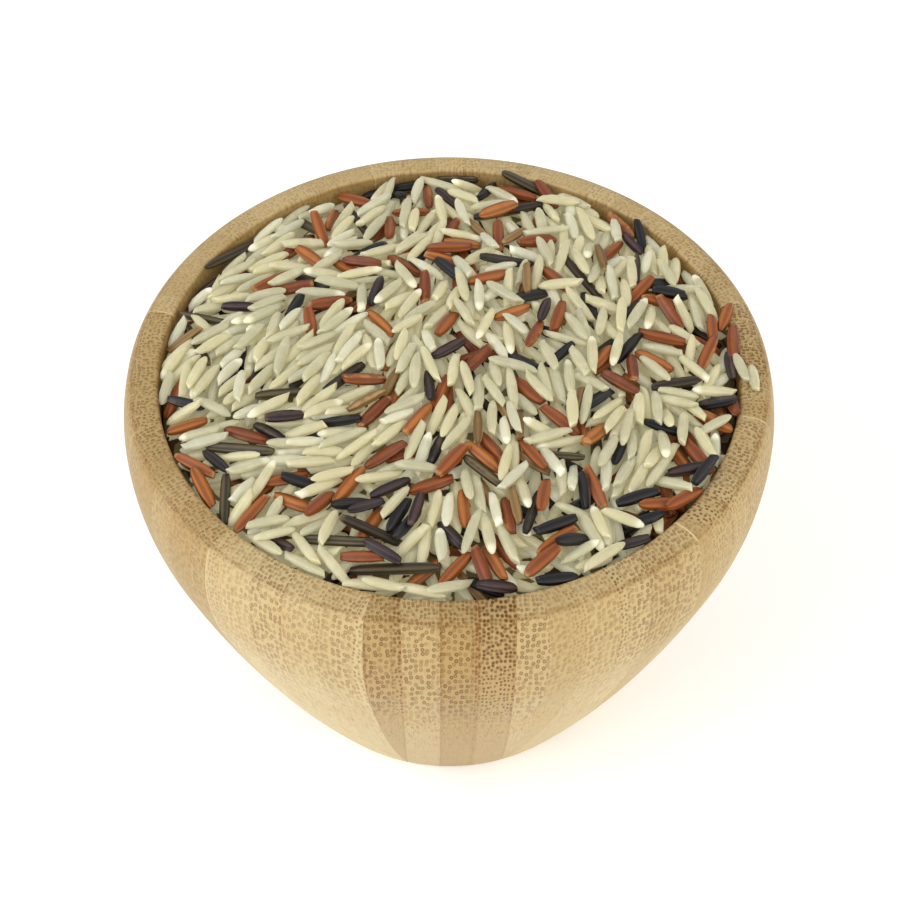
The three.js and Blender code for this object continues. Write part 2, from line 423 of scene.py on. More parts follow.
# How much of a pale glue line shows at each joint, on the rim and on the wall.
GLUE_ON_RIM = [0.3, 0.2, 0.5, 0.1, 0.1, 0.0, 0.0, 0.8, 0.6, 0.3, 0.3, 0.2]
GLUE_ON_WALL = [0.3, 0.4, 0.3, 0.2, 0.5, 0.0, 0.0, 0.1, 0.2, 0.3, 0.4, 0.3]
# The front stave's strips from left to right: tone, crowding of bundles, contrast.
FRONT_STRIPS = [(0.22, 0.55, 0.70), (0.62, 0.35, 0.50), (0.10, 0.45, 0.75), (0.25, 1.2, 1.0),
                (0.75, 0.25, 0.45)]
print("staves", STAVES, "and the lightest is number", STAVE_TONES_AND_SHADE.index(max(STAVE_TONES_AND_SHADE)))

# %% Bamboo: values for each stave
def flat_steps(tree, position, colours):
    """A ramp of equal flat steps, one for each colour."""
    places = [i / len(colours) for i in range(len(colours))]
    return colour_ramp(tree, position, colours, places, "CONSTANT")


def for_each(tree, number, values):
    """The value in a list that belongs to a stave's or a joint's number."""
    position = calc(tree, "DIVIDE", calc(tree, "ADD", number, STAVES / 2 + 0.5), STAVES)
    return flat_steps(tree, position, [(value,) * 3 for value in values])


def draws(tree, first, second):
    """Three random numbers that belong to a pair of whole numbers."""
    noise = node(tree, "ShaderNodeTexWhiteNoise", {"Vector": vector(tree, first, second)},
                 noise_dimensions="2D")
    return node(tree, "ShaderNodeSeparateColor", {0: noise.outputs["Color"]}).outputs


# %% [markdown]
# ## Bamboo: a solid pattern
# A plane that cuts the fibres across shows each bundle as a small brown ring, and one that runs
# along them shows streaks. A pattern painted on the skin would smear where the wall curves. So
# this is a pattern in the solid wood, which the bowl's own surface cuts: near the rim its rods
# show as rings, and down the taper the same rods draw out into streaks. For that, a point needs
# its place in its own stave and strip, and its place along the leaning fibres.

# %% Bamboo: where a point lies in its stave
def stave_places(tree):
    """A point's stave, and its place across it and out from the axis, in mm."""
    scaled = stretched(tree, node(tree, "ShaderNodeTexCoord").outputs["Object"], 1 / MM)
    x, y, z = parts_of(tree, scaled)
    radius = calc(tree, "SQRT", calc(tree, "MULTIPLY_ADD", x, x, product(tree, y, y)))
    bearing = calc(tree, "ARCTAN2", x, product(tree, y, -1))
    turns = calc(tree, "DIVIDE", calc(tree, "SUBTRACT", bearing, FIRST_JOINT), STAVE_PITCH)
    stave = calc(tree, "FLOOR", turns)
    share = calc(tree, "SUBTRACT", turns, stave)
    local = product(tree, calc(tree, "SUBTRACT", share, 0.5), STAVE_PITCH)
    number = calc(tree, "WRAP", stave, STAVES / 2, -STAVES / 2)
    return {"scaled": scaled, "z": z, "radius": radius, "local": local, "number": number,
            "across": product(tree, radius, calc(tree, "SINE", local)),
            "out": product(tree, radius, calc(tree, "COSINE", local)),
            "joint": calc(tree, "WRAP", calc(tree, "ROUND", turns), STAVES / 2, -STAVES / 2),
            "on_rim": step(tree, z, *RIM_FACE),
            "in_front": calc(tree, "COMPARE", number, FRONT_STAVE, 0.1)}


# %% Bamboo: where it lies in its strip and its fibres
def strip_places(tree, at):
    """Adds a point's strip, its share of the way across it, and that strip's traits."""
    stave_draw = draws(tree, at["number"], STAVE_SEED)
    free_offset = product(tree, stave_draw[1], STRIP_PITCH)
    offset = between(tree, at["in_front"], free_offset, FRONT_STRIP_OFFSET)
    strips = calc(tree, "DIVIDE", calc(tree, "ADD", at["across"], offset), STRIP_PITCH)
    strip = calc(tree, "FLOOR", strips)
    at["part"] = calc(tree, "SUBTRACT", strips, strip)
    at["draw"] = draws(tree, at["number"], strip)
    count = len(FRONT_STRIPS)
    chosen = flat_steps(tree, calc(tree, "DIVIDE", calc(tree, "ADD", strip, count / 2), count),
                        FRONT_STRIPS)
    drawn = node(tree, "ShaderNodeCombineColor", {i: at["draw"][i] for i in range(3)}).outputs[0]
    traits = blend(tree, at["in_front"], drawn, chosen)
    at["traits"] = node(tree, "ShaderNodeSeparateColor", {0: traits}).outputs
    fibre_places(tree, at, stave_draw[0])


def fibre_places(tree, at, draw):
    """Adds the place along the fibres and through them; each stave leans by its own draw."""
    lean = calc(tree, "MULTIPLY_ADD", calc(tree, "SUBTRACT", draw, 0.5),
                2 * LEAN_SPREAD, FIBRE_LEAN)
    lean_sin, lean_cos = calc(tree, "SINE", lean), calc(tree, "COSINE", lean)
    at["through"] = calc(tree, "SUBTRACT", product(tree, at["out"], lean_cos),
                         product(tree, at["z"], lean_sin))
    at["fibre"] = calc(tree, "MULTIPLY_ADD", at["out"], lean_sin,
                       product(tree, at["z"], lean_cos))


# %% [markdown]
# ## Bamboo: the fibre bundles
# On the real bowl the bundles are open rings in the middle of the culm, and small filled dots
# that crowd near its skin. A Voronoi texture scatters points that keep apart, which is how the
# bundles lie. It is flat, across the fibres, so each of its points is a rod in the solid wood.

# %% Bamboo: the fibre bundles
# Spacing of the bundles, a shift that makes a layer its own, and a ring's radius, in mm.
WALL_RINGS = (0.95, 0.0, 0.41)
RIM_RINGS = (0.68, 3.0, 0.31)
SKIN_DOTS = (0.72, 7.0)
RING_LINE = 0.13
BUNDLE_SCATTER = 0.6
SWAY_SCALE = 0.12
# The random draws move each strip's pattern by up to this much, across and through.
STRIP_SHIFT = (40.0, 60.0)


def bundle_layer(tree, at, spacing, shift):
    """Distance in mm to the nearest bundle of a layer, and that bundle's random draw."""
    sway = clouds(tree, at["scaled"], SWAY_SCALE, 1.0)
    u = calc(tree, "MULTIPLY_ADD", at["draw"][0], STRIP_SHIFT[0],
             calc(tree, "ADD", at["across"], shift))
    v = calc(tree, "MULTIPLY_ADD", at["draw"][1], STRIP_SHIFT[1],
             calc(tree, "ADD", at["through"], sway))
    scattered = node(tree, "ShaderNodeTexVoronoi", {
        "Vector": vector(tree, u, v), "Scale": 1 / spacing, "Randomness": BUNDLE_SCATTER},
        voronoi_dimensions="2D", feature="F1")
    draw = node(tree, "ShaderNodeSeparateColor", {0: scattered.outputs["Color"]})
    return product(tree, scattered.outputs["Distance"], spacing), draw.outputs[0]


# %% Bamboo: rings and dots
def open_rings(tree, at, spacing, shift, outer):
    """Bundles cut across: a brown ring with a paler middle."""
    gap, draw = bundle_layer(tree, at, spacing, shift)
    return product(tree, step(tree, gap, outer - RING_LINE, outer, 1, 0),
                   step(tree, gap, 0.02, outer * 0.6, 0.35, 1),
                   step(tree, draw, 0.0, 0.7, 0.5, 1.0))


def small_dots(tree, at):
    """The filled dots near the culm's skin; in front they swell on the shoulder."""
    gap, draw = bundle_layer(tree, at, *SKIN_DOTS)
    swelling = product(tree, at["in_front"], step(tree, at["z"], 66, 80, -0.1, 0.35))
    gap = calc(tree, "DIVIDE", gap, calc(tree, "ADD", swelling, 1.0))
    return product(tree, step(tree, gap, 0.13, 0.31, 1, 0),
                   step(tree, draw, 0.0, 0.6, 0.6, 1.0))


def bundles(tree, at, crowding, dots):
    """How strongly a fibre bundle marks each point: open rings, or dots where they crowd."""
    side = calc(tree, "GREATER_THAN", at["draw"][2],
                calc(tree, "MULTIPLY_ADD", at["in_front"], 1.0, 0.6))
    grade = calc(tree, "ABSOLUTE", calc(tree, "SUBTRACT", at["part"], side))
    crowd = step(tree, calc(tree, "MULTIPLY_ADD", crowding, 1.15, grade), 1.2, 1.55)
    rings = between(tree, at["on_rim"], open_rings(tree, at, *WALL_RINGS),
                    open_rings(tree, at, *RIM_RINGS))
    return between(tree, crowd, rings, dots)


# %% [markdown]
# ## Bamboo: the wood between the bundles
# Sanded bamboo is pale straw, with faint streaks along the fibre and short brown dashes low down,
# where the bundles are cut at a long slant. Towards the shoulder it is painted a little browner, as
# shade, so the lower wall stays paler where the floor lights it from below. Each of these is one
# more thin layer of colour over the last, so each can be judged by itself.

# %% Bamboo: the wood between the bundles
DARK_WOOD = from_screen(166, 139, 88)
PALE_WOOD = from_screen(230, 212, 164)
WARM_WOOD = from_screen(190, 152, 90)
SHOULDER_SHADE = from_screen(176, 134, 66)
STREAK_BROWN = from_screen(160, 122, 76)
DASH_BROWN = from_screen(146, 94, 50)
DRIFT_SCALE = 0.07
# How fine the streaks are across the fibres, through them and along them.
STREAK_SCALES = (2.4, 0.8, 0.07)
DASH_FINENESS = 1.7


def bamboo_ground(tree, at, tone):
    """The wood between the bundles: its strip's tint, streaks and dashes along the fibre."""
    own = product(tree, tone, calc(tree, "MULTIPLY_ADD", at["in_front"], 0.25, 0.25))
    # The stave's tone; on the front stave and the three to its right it also holds painted shade.
    light = calc(tree, "MULTIPLY_ADD", for_each(tree, at["number"], STAVE_TONES_AND_SHADE), 0.5, own)
    wood = blend(tree, light, DARK_WOOD, PALE_WOOD)
    drift = clouds(tree, at["scaled"], DRIFT_SCALE)
    wood = blend(tree, step(tree, drift, 0.45, 0.75, 0, 0.25), wood, WARM_WOOD)
    # Painted shade: browner towards the shoulder, paler on the lower wall that the floor lights.
    wood = blend(tree, step(tree, at["z"], 46, 72, 0, 0.22), wood, SHOULDER_SHADE)
    places = (at["across"], at["through"], at["fibre"])
    drawn_out = vector(tree, *[product(tree, *pair) for pair in zip(places, STREAK_SCALES)])
    streaks = clouds(tree, drawn_out, 1.0, 1.0)
    wood = blend(tree, step(tree, streaks, 0.45, 0.75, 0, 0.28), wood, STREAK_BROWN)
    dashes = clouds(tree, stretched(tree, drawn_out, DASH_FINENESS), 1.0, 0.0)
    low_down = product(tree, step(tree, at["z"], 54, 62, 1, 0),
                       step(tree, at["z"], 24, 44, 0.15, 1),
                       calc(tree, "MULTIPLY_ADD", at["in_front"], 0.3, 0.7))
    dashes = product(tree, low_down, step(tree, dashes, 0.6, 0.7, 0, 0.55))
    return blend(tree, dashes, wood, DASH_BROWN)


# %% [markdown]
# ## Bamboo: wear, painted shade and joints
# Use and washing leave the rim greyer. A thin, broken brown line marks where rim and wall meet, and
# the hollow is painted darker than the outside, as shade. Some strips have a row of brown dots
# along their edge, and a few joints show pale glue. All of these follow the bowl's own sizes, so
# they stay on the edges that they belong to.

# %% Bamboo: wear and painted shade
RIM_GREY = from_screen(172, 154, 116)
CREASE_BROWN = from_screen(142, 98, 44)
HOLLOW_SHADE = from_screen(150, 116, 60)
PATCH_SCALE = 0.25
CREASE_DEPTH = 0.75
CREASE_WOBBLE = 0.4
# Painted shade darkens the hollow inside this band of radii and above this band of heights.
HOLLOW_EDGE = (RIM_INNER_RADIUS - 0.1, RIM_INNER_RADIUS + 0.4)
HOLLOW_BOTTOM = (RIM_HEIGHT - 18, RIM_HEIGHT - 14)


def bamboo_wear_and_shade(tree, at, wood):
    """The greyer rim, the brown line where rim and wall meet, and painted shade in the hollow."""
    wood = blend(tree, product(tree, at["on_rim"], 0.15), wood, RIM_GREY)
    patch = clouds(tree, at["scaled"], PATCH_SCALE)
    crease = calc(tree, "MULTIPLY_ADD", patch, CREASE_WOBBLE, RIM_HEIGHT - CREASE_DEPTH)
    off_crease = calc(tree, "ABSOLUTE", calc(tree, "SUBTRACT", at["z"], crease))
    worn = product(tree, step(tree, off_crease, 0.04, 0.4, 1, 0),
                   step(tree, patch, 0.35, 0.6, 0.15, 0.75), 0.6)
    wood = blend(tree, worn, wood, CREASE_BROWN)
    # Painted shade: the hollow's upper wall, below the rim, is made darker.
    hollow_shade = product(tree, step(tree, at["radius"], *HOLLOW_EDGE, 1, 0),
                        step(tree, at["z"], *HOLLOW_BOTTOM), 0.6)
    return blend(tree, hollow_shade, wood, HOLLOW_SHADE)


# %% Bamboo: joints
STRIP_EDGE_BROWN = from_screen(128, 78, 30)
GLUE_PALE = from_screen(224, 202, 150)


def bamboo_joints(tree, at, wood, dots):
    """Rows of brown dots beside some strips, and pale glue lines between some staves."""
    off_middle = calc(tree, "ABSOLUTE", calc(tree, "SUBTRACT", at["part"], 0.5))
    edge = product(tree, STRIP_PITCH, calc(tree, "SUBTRACT", 0.5, off_middle))
    dotted = product(tree, step(tree, edge, 0.1, 0.7, 0.8, 0.0),
                     step(tree, at["traits"][2], 0.45, 0.8),
                     calc(tree, "MULTIPLY_ADD", at["in_front"], 0.6, 0.4),
                     calc(tree, "MULTIPLY_ADD", dots, 0.8, 0.2))
    wood = blend(tree, dotted, wood, STRIP_EDGE_BROWN)
    off_joint = calc(tree, "SUBTRACT", STAVE_PITCH / 2, calc(tree, "ABSOLUTE", at["local"]))
    shows = between(tree, at["on_rim"], for_each(tree, at["joint"], GLUE_ON_WALL),
                    for_each(tree, at["joint"], GLUE_ON_RIM))
    glue = step(tree, product(tree, at["radius"], off_joint), 0.08, 0.26, 1.0, 0.0)
    return blend(tree, product(tree, shows, glue), wood, GLUE_PALE)


# %% [markdown]
# ## Bamboo: the finish
# The layers come together here. The bundles fade out downwards, sooner on the staves that are
# sanded smoother. The wood is oiled and only half smooth, so the shader is given a middling
# roughness and little shine. The cut bundles dent the surface a little, which a bump can show,
# because they are far too fine for real shape.

# %% Bamboo: the finish
BUNDLE_BROWN = from_screen(98, 58, 8)
# Bundles fade out between these heights, and up to this much higher on a smoother stave.
BUNDLES_FADE = (42, 62)
SANDED_HIGHER = 22.0


def bamboo_finish(tree, shader):
    """Puts the layers together and wires them to the shader."""
    at = stave_places(tree)
    strip_places(tree, at)
    tone, crowding, contrast = at["traits"]
    dots = small_dots(tree, at)
    marks = bundles(tree, at, crowding, dots)
    wood = bamboo_wear_and_shade(tree, at, bamboo_ground(tree, at, tone))
    on_wall = for_each(tree, at["number"], MARKS_ON_WALL)
    height = calc(tree, "MULTIPLY_ADD", calc(tree, "SUBTRACT", 1.0, on_wall),
                  -SANDED_HIGHER, at["z"])
    sanded = product(tree, on_wall, step(tree, height, *BUNDLES_FADE, 0.1, 1.0))
    fade = between(tree, at["on_rim"], sanded, for_each(tree, at["number"], MARKS_ON_RIM))
    strength = product(tree, fade, calc(tree, "MULTIPLY_ADD", contrast, 0.45, 0.5))
    wood = blend(tree, product(tree, marks, strength), wood, BUNDLE_BROWN)
    wood = bamboo_joints(tree, at, wood, product(tree, dots, fade))
    tree.links.new(wood, shader.inputs["Base Color"])
    shader.inputs["Roughness"].default_value = 0.5
    shader.inputs["Specular IOR Level"].default_value = 0.25
    relief = node(tree, "ShaderNodeBump", {
        "Height": product(tree, marks, -1.0), "Strength": 0.25, "Distance": 0.00006})
    tree.links.new(relief.outputs[0], shader.inputs["Normal"])


bamboo_finish(bamboo_tree, bamboo_shader)
print("bamboo nodes", len(bamboo_tree.nodes))

# %% [markdown]
# ## How the grains settle
# Rice in a bowl lies as it fell: most grains rest on two others and lean a little. A physics
# engine could drop them, but it takes long and may not end the same way twice. Instead, we
# keep a height map of the heap. A grain is tried in some random places; each place gives the
# pose in which it would rest on the map, like a rod on bumpy ground, and the lowest wins. Its
# upper side is then stamped into the map for the next grain to rest on.

# %% The heap's height map
# Sizes in mm: the map's cells and half its side, and how the heap's dome rises and falls.
CELL = 0.25
MAP_HALF = 58.0
DOME_RISE = 4.6
EDGE_DROP = 1.2
LOW_SIDE_DROP = 1.4
LOW_SIDE_BEARING = math.radians(135)
# Where the rice is banked up against the wall: bearing, rise in mm, half width in radians.
BANKS = [(math.radians(78), 1.6, 0.32), (math.radians(192), 1.3, 0.6)]
# A bank keeps to the wall: its rise fades inwards with this power of the distance.
BANK_POWER = 8
LOOSE_DEPTH = 5.0


def dome_height(x, y):
    """Height of the heap's plain dome, in mm, which is lower on one side."""
    out = np.minimum(1, np.hypot(x, y) / RIM_INNER_RADIUS)
    low = x * math.cos(LOW_SIDE_BEARING) + y * math.sin(LOW_SIDE_BEARING)
    drop = DOME_RISE + EDGE_DROP + LOW_SIDE_DROP * low / RIM_INNER_RADIUS
    return RIM_HEIGHT + DOME_RISE - drop * out ** 2


def heap_height(x, y):
    """Height of the heap's even surface, in mm: the dome with its banks."""
    out = np.minimum(1, np.hypot(x, y) / RIM_INNER_RADIUS)
    height = dome_height(x, y)
    for bearing, rise, width in BANKS:
        away = (np.arctan2(y, x) - bearing + math.pi) % (2 * math.pi) - math.pi
        height = height + rise * np.exp(-(away / width) ** 2) * out ** BANK_POWER
    return height


cells = int(2 * MAP_HALF / CELL)
ticks = (np.arange(cells) + 0.5) * CELL - MAP_HALF
map_x, map_y = np.meshgrid(ticks, ticks, indexing="ij")
ground = heap_height(map_x, map_y) - LOOSE_DEPTH
ground[np.hypot(map_x, map_y) > RIM_INNER_RADIUS] = RIM_HEIGHT
taken = np.zeros(ground.shape, bool)
print("height map", ground.shape)

# %% [markdown]
# ## How a grain rests
# On the real heap a grain tips until two points carry it, one on each side of its middle. So it
# is taken as nine stations along its length. For every pair of them, the bumps below say how
# high the grain's middle must be. The highest of these is where it comes to rest, and of the two
# slopes at which it then touches, it takes the flatter. All the tries are worked out at once.

# %% How a grain rests
# The stations' places along a grain and across it, as shares of its half length and half width.
STATIONS = np.linspace(-0.88, 0.88, 9)
ACROSS = np.array([-0.75, 0.0, 0.75])
STEEPEST = math.tan(math.radians(40))


def fullness(t, taper):
    """Half-width of a grain, as a share of its widest, from one end (-1) to the other (1)."""
    shoulder, point = taper
    return np.maximum(0, 1 - np.abs(t) ** shoulder) ** point


def at_rest(x, y, heading, length, width, thick, taper):
    """For each try: the height and slope at which it rests, and its share over taken ground."""
    t = STATIONS * length / 2
    full = fullness(STATIONS, taper)
    side = ACROSS[None, :, None] * full[None, None, :] * width / 2
    c, s = np.cos(heading)[:, None, None], np.sin(heading)[:, None, None]
    px = x[:, None, None] + t[None, None, :] * c - side * s
    py = y[:, None, None] + t[None, None, :] * s + side * c
    ix = np.clip(((px + MAP_HALF) / CELL).astype(int), 0, cells - 1)
    iy = np.clip(((py + MAP_HALF) / CELL).astype(int), 0, cells - 1)
    under = full * thick / 2 * np.sqrt(1 - ACROSS[:, None] ** 2)
    need = (ground[ix, iy] + under[None]).max(axis=1)
    middle = len(STATIONS) // 2
    left, right = slice(0, middle), slice(middle + 1, None)
    zi, zj = need[:, left, None], need[:, None, right]
    ti, tj = t[left][None, :, None], t[right][None, None, :]
    held = ((zi * tj - zj * ti) / (tj - ti)).max(axis=(1, 2))
    height = np.maximum(held, need[:, middle])
    lowest = ((need[:, right] - height[:, None]) / t[right]).max(axis=1)
    highest = ((need[:, left] - height[:, None]) / t[left]).min(axis=1)
    slope = np.where(np.abs(lowest) < np.abs(highest), lowest, highest)
    return height, slope, taken[ix, iy].mean(axis=(1, 2))


# %% Stamping a grain that lies still
def stamp(x, y, z, heading, slope, length, width, thick, taper, seen=False):
    """Raises the map to the upper side of a grain that has come to rest."""
    reach = int(length / 2 / CELL) + 2
    cx, cy = int((x + MAP_HALF) / CELL), int((y + MAP_HALF) / CELL)
    box = (slice(max(0, cx - reach), cx + reach + 1), slice(max(0, cy - reach), cy + reach + 1))
    dx, dy = map_x[box] - x, map_y[box] - y
    t = dx * math.cos(heading) + dy * math.sin(heading)
    s = -dx * math.sin(heading) + dy * math.cos(heading)
    full = fullness(np.clip(2 * t / length, -1, 1), taper)
    share = s / np.maximum(full * width / 2, 1e-6)
    top = z + slope * t + full * thick / 2 * np.sqrt(np.maximum(0, 1 - share ** 2))
    covered = (np.abs(share) < 1) & (full > 0)
    ground[box] = np.where(covered, np.maximum(ground[box], top), ground[box])
    taken[box] |= covered & seen


# %% [markdown]
# ## The kinds of grain
# The blend is about two thirds white long-grain rice, with red, black and a few brown grains
# and long, dark sticks of wild rice. Each kind has its own length, width and bluntness. No two
# grains of a kind are alike, so each one draws its own size within its kind's range.

# %% The kinds of grain
# For each kind: its share of the blend, its share on top between the grains that are laid as
# listed, its length and width in mm, and how full its shoulder and how blunt its point is.
KINDS = {
    "white_rice": {"share": 0.72, "on_top": 0.82, "length": (7.1, 9.1), "width": (1.9, 2.25),
                   "taper": (3.2, 0.6)},
    "chalky_rice": {"share": 0.11, "on_top": 0.12, "length": (5.6, 8.6), "width": (1.85, 2.2),
                    "taper": (3.2, 0.6)},
    "red_rice": {"share": 0.10, "on_top": 0.03, "length": (7.4, 9.0), "width": (2.2, 2.6),
                 "taper": (3.2, 0.5)},
    "black_rice": {"share": 0.04, "on_top": 0.01, "length": (6.6, 8.2), "width": (1.95, 2.3),
                   "taper": (3.4, 0.48)},
    "wild_rice": {"share": 0.01, "on_top": 0.0, "length": (9.5, 15.5), "width": (1.6, 2.0),
                  "taper": (6.0, 0.5)},
    "brown_rice": {"share": 0.02, "on_top": 0.02, "length": (7.0, 8.6), "width": (1.8, 2.1),
                   "taper": (3.2, 0.55)},
}
NAMES = list(KINDS)
# A grain's thickness as a share of its width.
FLATNESS = 0.78
print("kinds", NAMES)


def sized(rng, facts):
    """Draws a grain's length, width and thickness."""
    width = rng.uniform(*facts["width"])
    return rng.uniform(*facts["length"]), width, width * FLATNESS


# %% [markdown]
# ## From the photograph onto the heap
# The dark and the red grains make the picture, so the ones on top lie where they lie on the real
# heap. Their two ends were read off enlarged cut-outs of the photograph. A ray from the camera
# through such a point meets the heap's dome where the grain's end lies. The camera's place and lens
# were fitted to the bowl's turned outline, because a circle's two ellipses, at the rim and at the
# foot, leave little doubt about either.

# %% From the photograph onto the heap
# Places in metres: right of the axis, behind it, and over the rim.
CAMERA_PLACE = (0.00018, -0.2347, 0.25001)
CAMERA_PITCH = math.radians(49.442)
CAMERA_LENS = 75.33
CAMERA_SENSOR = 36.0
PHOTO_SIDE = 900
# Each cut-out's left and top edge in the photograph's pixels, and how much it was enlarged.
CUTOUTS = {1: (160, 165, 6.533), 2: (380, 165, 6.533), 3: (520, 220, 6.533),
           4: (150, 340, 6.533), 5: (330, 400, 6.533), 6: (520, 400, 6.817)}
# How deep a grain's middle lies under the dome, and in how many steps a ray finds it, from
# a first guess of the height over the rim.
GRAIN_DEPTH = 0.3
RAY_STEPS = 12
FIRST_GUESS = 4.0
# An end is read to about a pixel, so places and bearings are only kept to these steps.
PLACE_STEP = 0.5
BEARING_STEP = 5


def on_heap(cutout, across, down):
    """Where the camera's ray through a point of a cut-out meets the heap, in mm."""
    left, top, zoom = CUTOUTS[cutout]
    focal = CAMERA_LENS / CAMERA_SENSOR * PHOTO_SIDE
    right = (left + across / zoom - PHOTO_SIDE / 2) / focal
    up = (PHOTO_SIDE / 2 - top - down / zoom) / focal
    back = math.cos(CAMERA_PITCH) + up * math.sin(CAMERA_PITCH)
    fall = math.sin(CAMERA_PITCH) - up * math.cos(CAMERA_PITCH)
    eye_x, eye_y, eye_z = (part / MM for part in CAMERA_PLACE)
    z = RIM_HEIGHT + FIRST_GUESS
    for _ in range(RAY_STEPS):
        reach = (RIM_HEIGHT + eye_z - z) / fall
        x, y = eye_x + reach * right, eye_y + reach * back
        z = float(dome_height(x, y)) - GRAIN_DEPTH
    return x, y


def places_of(ends, moves):
    """Middles and bearings of grains from their two ends, with the moves that are given."""
    places = []
    for number, (cutout, x0, y0, x1, y1, *long) in enumerate(ends):
        first, last = on_heap(cutout, x0, y0), on_heap(cutout, x1, y1)
        x, y = (first[0] + last[0]) / 2, (first[1] + last[1]) / 2
        bearing = math.degrees(math.atan2(last[1] - first[1], last[0] - first[0])) % 180
        move = moves.get(number, (0, 0, 0))
        places.append((round(x / PLACE_STEP) * PLACE_STEP + move[0],
                       round(y / PLACE_STEP) * PLACE_STEP + move[1],
                       round(bearing / BEARING_STEP) * BEARING_STEP % 180 + move[2], *long))
    return places


print("the picture's middle meets the heap at", [round(v, 1) for v in on_heap(5, 784, 327)], "mm")

# %% [markdown]
# ## Grains that catch the eye
# Each row has the number of a cut-out and the grain's two ends in it: across and down, across and
# down. The long wild grains have their length in mm too, chosen one by one, because some of them
# dive under others.

# %% Grains that catch the eye
WILD_ENDS = [
    (1, 292, 745, 660, 465, 15.5), (1, 1191, 260, 1401, 515, 15), (1, 140, 990, 460, 1025, 10.5),
    (1, 160, 1030, 330, 1310, 14), (1, 900, 710, 1080, 790, 10), (1, 650, 1510, 920, 1465, 9.5),
    (2, 360, 70, 645, 65, 9), (2, 820, 65, 1060, 140, 10), (2, 591, 345, 1061, 275, 15),
    (2, 655, 635, 1015, 625, 11.5), (2, 1165, 580, 1460, 880, 15), (3, 765, 275, 765, 410, 9.5),
    (4, 355, 680, 820, 745, 13.5), (4, 490, 900, 455, 1215, 10),
    (4, 950, 1270, 1530, 1340, 15.5), (5, 140, 860, 400, 910, 12), (5, 90, 1110, 740, 1130, 16),
    (5, 885, 390, 1130, 550, 9.5), (5, 1280, 920, 1370, 600, 10.5), (6, 145, 340, 385, 410, 9.5),
    (1, 1130, 1450, 1300, 1310, 9.5), (1, 820, 205, 955, 325, 9.5),
    (3, 900, 1090, 1110, 1070, 9.5)]
BLACK_ENDS = [
    (1, 265, 850, 405, 735), (1, 420, 935, 640, 930), (1, 850, 990, 930, 850),
    (1, 1370, 930, 1460, 730), (1, 1260, 575, 1500, 525), (2, 60, 130, 200, 270),
    (2, 115, 120, 290, 100), (2, 365, 170, 550, 270), (2, 640, 230, 740, 130),
    (2, 225, 565, 375, 660), (2, 385, 645, 515, 730), (2, 880, 865, 1080, 810),
    (2, 1040, 1020, 1090, 890), (2, 1113, 1000, 1153, 850), (2, 380, 1240, 510, 1170),
    (2, 1095, 1290, 1245, 1185), (2, 325, 1370, 335, 1520), (3, 750, 60, 800, 190),
    (3, 820, 410, 960, 405), (3, 650, 660, 835, 525), (3, 670, 870, 750, 795),
    (3, 410, 1210, 590, 1120), (3, 870, 1330, 1020, 1360), (3, 1215, 1200, 1430, 1230),
    (3, 900, 510, 1040, 525), (4, 680, 550, 860, 650), (4, 1120, 525, 1360, 520),
    (4, 165, 870, 375, 945), (4, 370, 745, 500, 880), (4, 860, 920, 1105, 930),
    (4, 1210, 1085, 1410, 1040), (4, 1335, 1130, 1490, 1080), (4, 760, 1245, 930, 1390),
    (4, 180, 430, 300, 440), (4, 800, 520, 960, 490), (5, 270, 640, 505, 530),
    (5, 380, 870, 530, 625), (5, 435, 890, 565, 730), (5, 520, 890, 600, 610),
    (5, 705, 780, 890, 975), (5, 260, 975, 430, 1060), (5, 1280, 530, 1400, 400),
    (6, 120, 900, 360, 840), (6, 265, 1020, 440, 930), (6, 120, 1230, 410, 1190),
    (6, 680, 1010, 870, 970), (6, 760, 830, 950, 800), (6, 420, 500, 470, 750),
    (6, 1040, 490, 1270, 480), (6, 1220, 600, 1320, 500), (6, 690, 700, 890, 650),
    (6, 640, 420, 700, 270), (5, 975, 1280, 1210, 1215)]
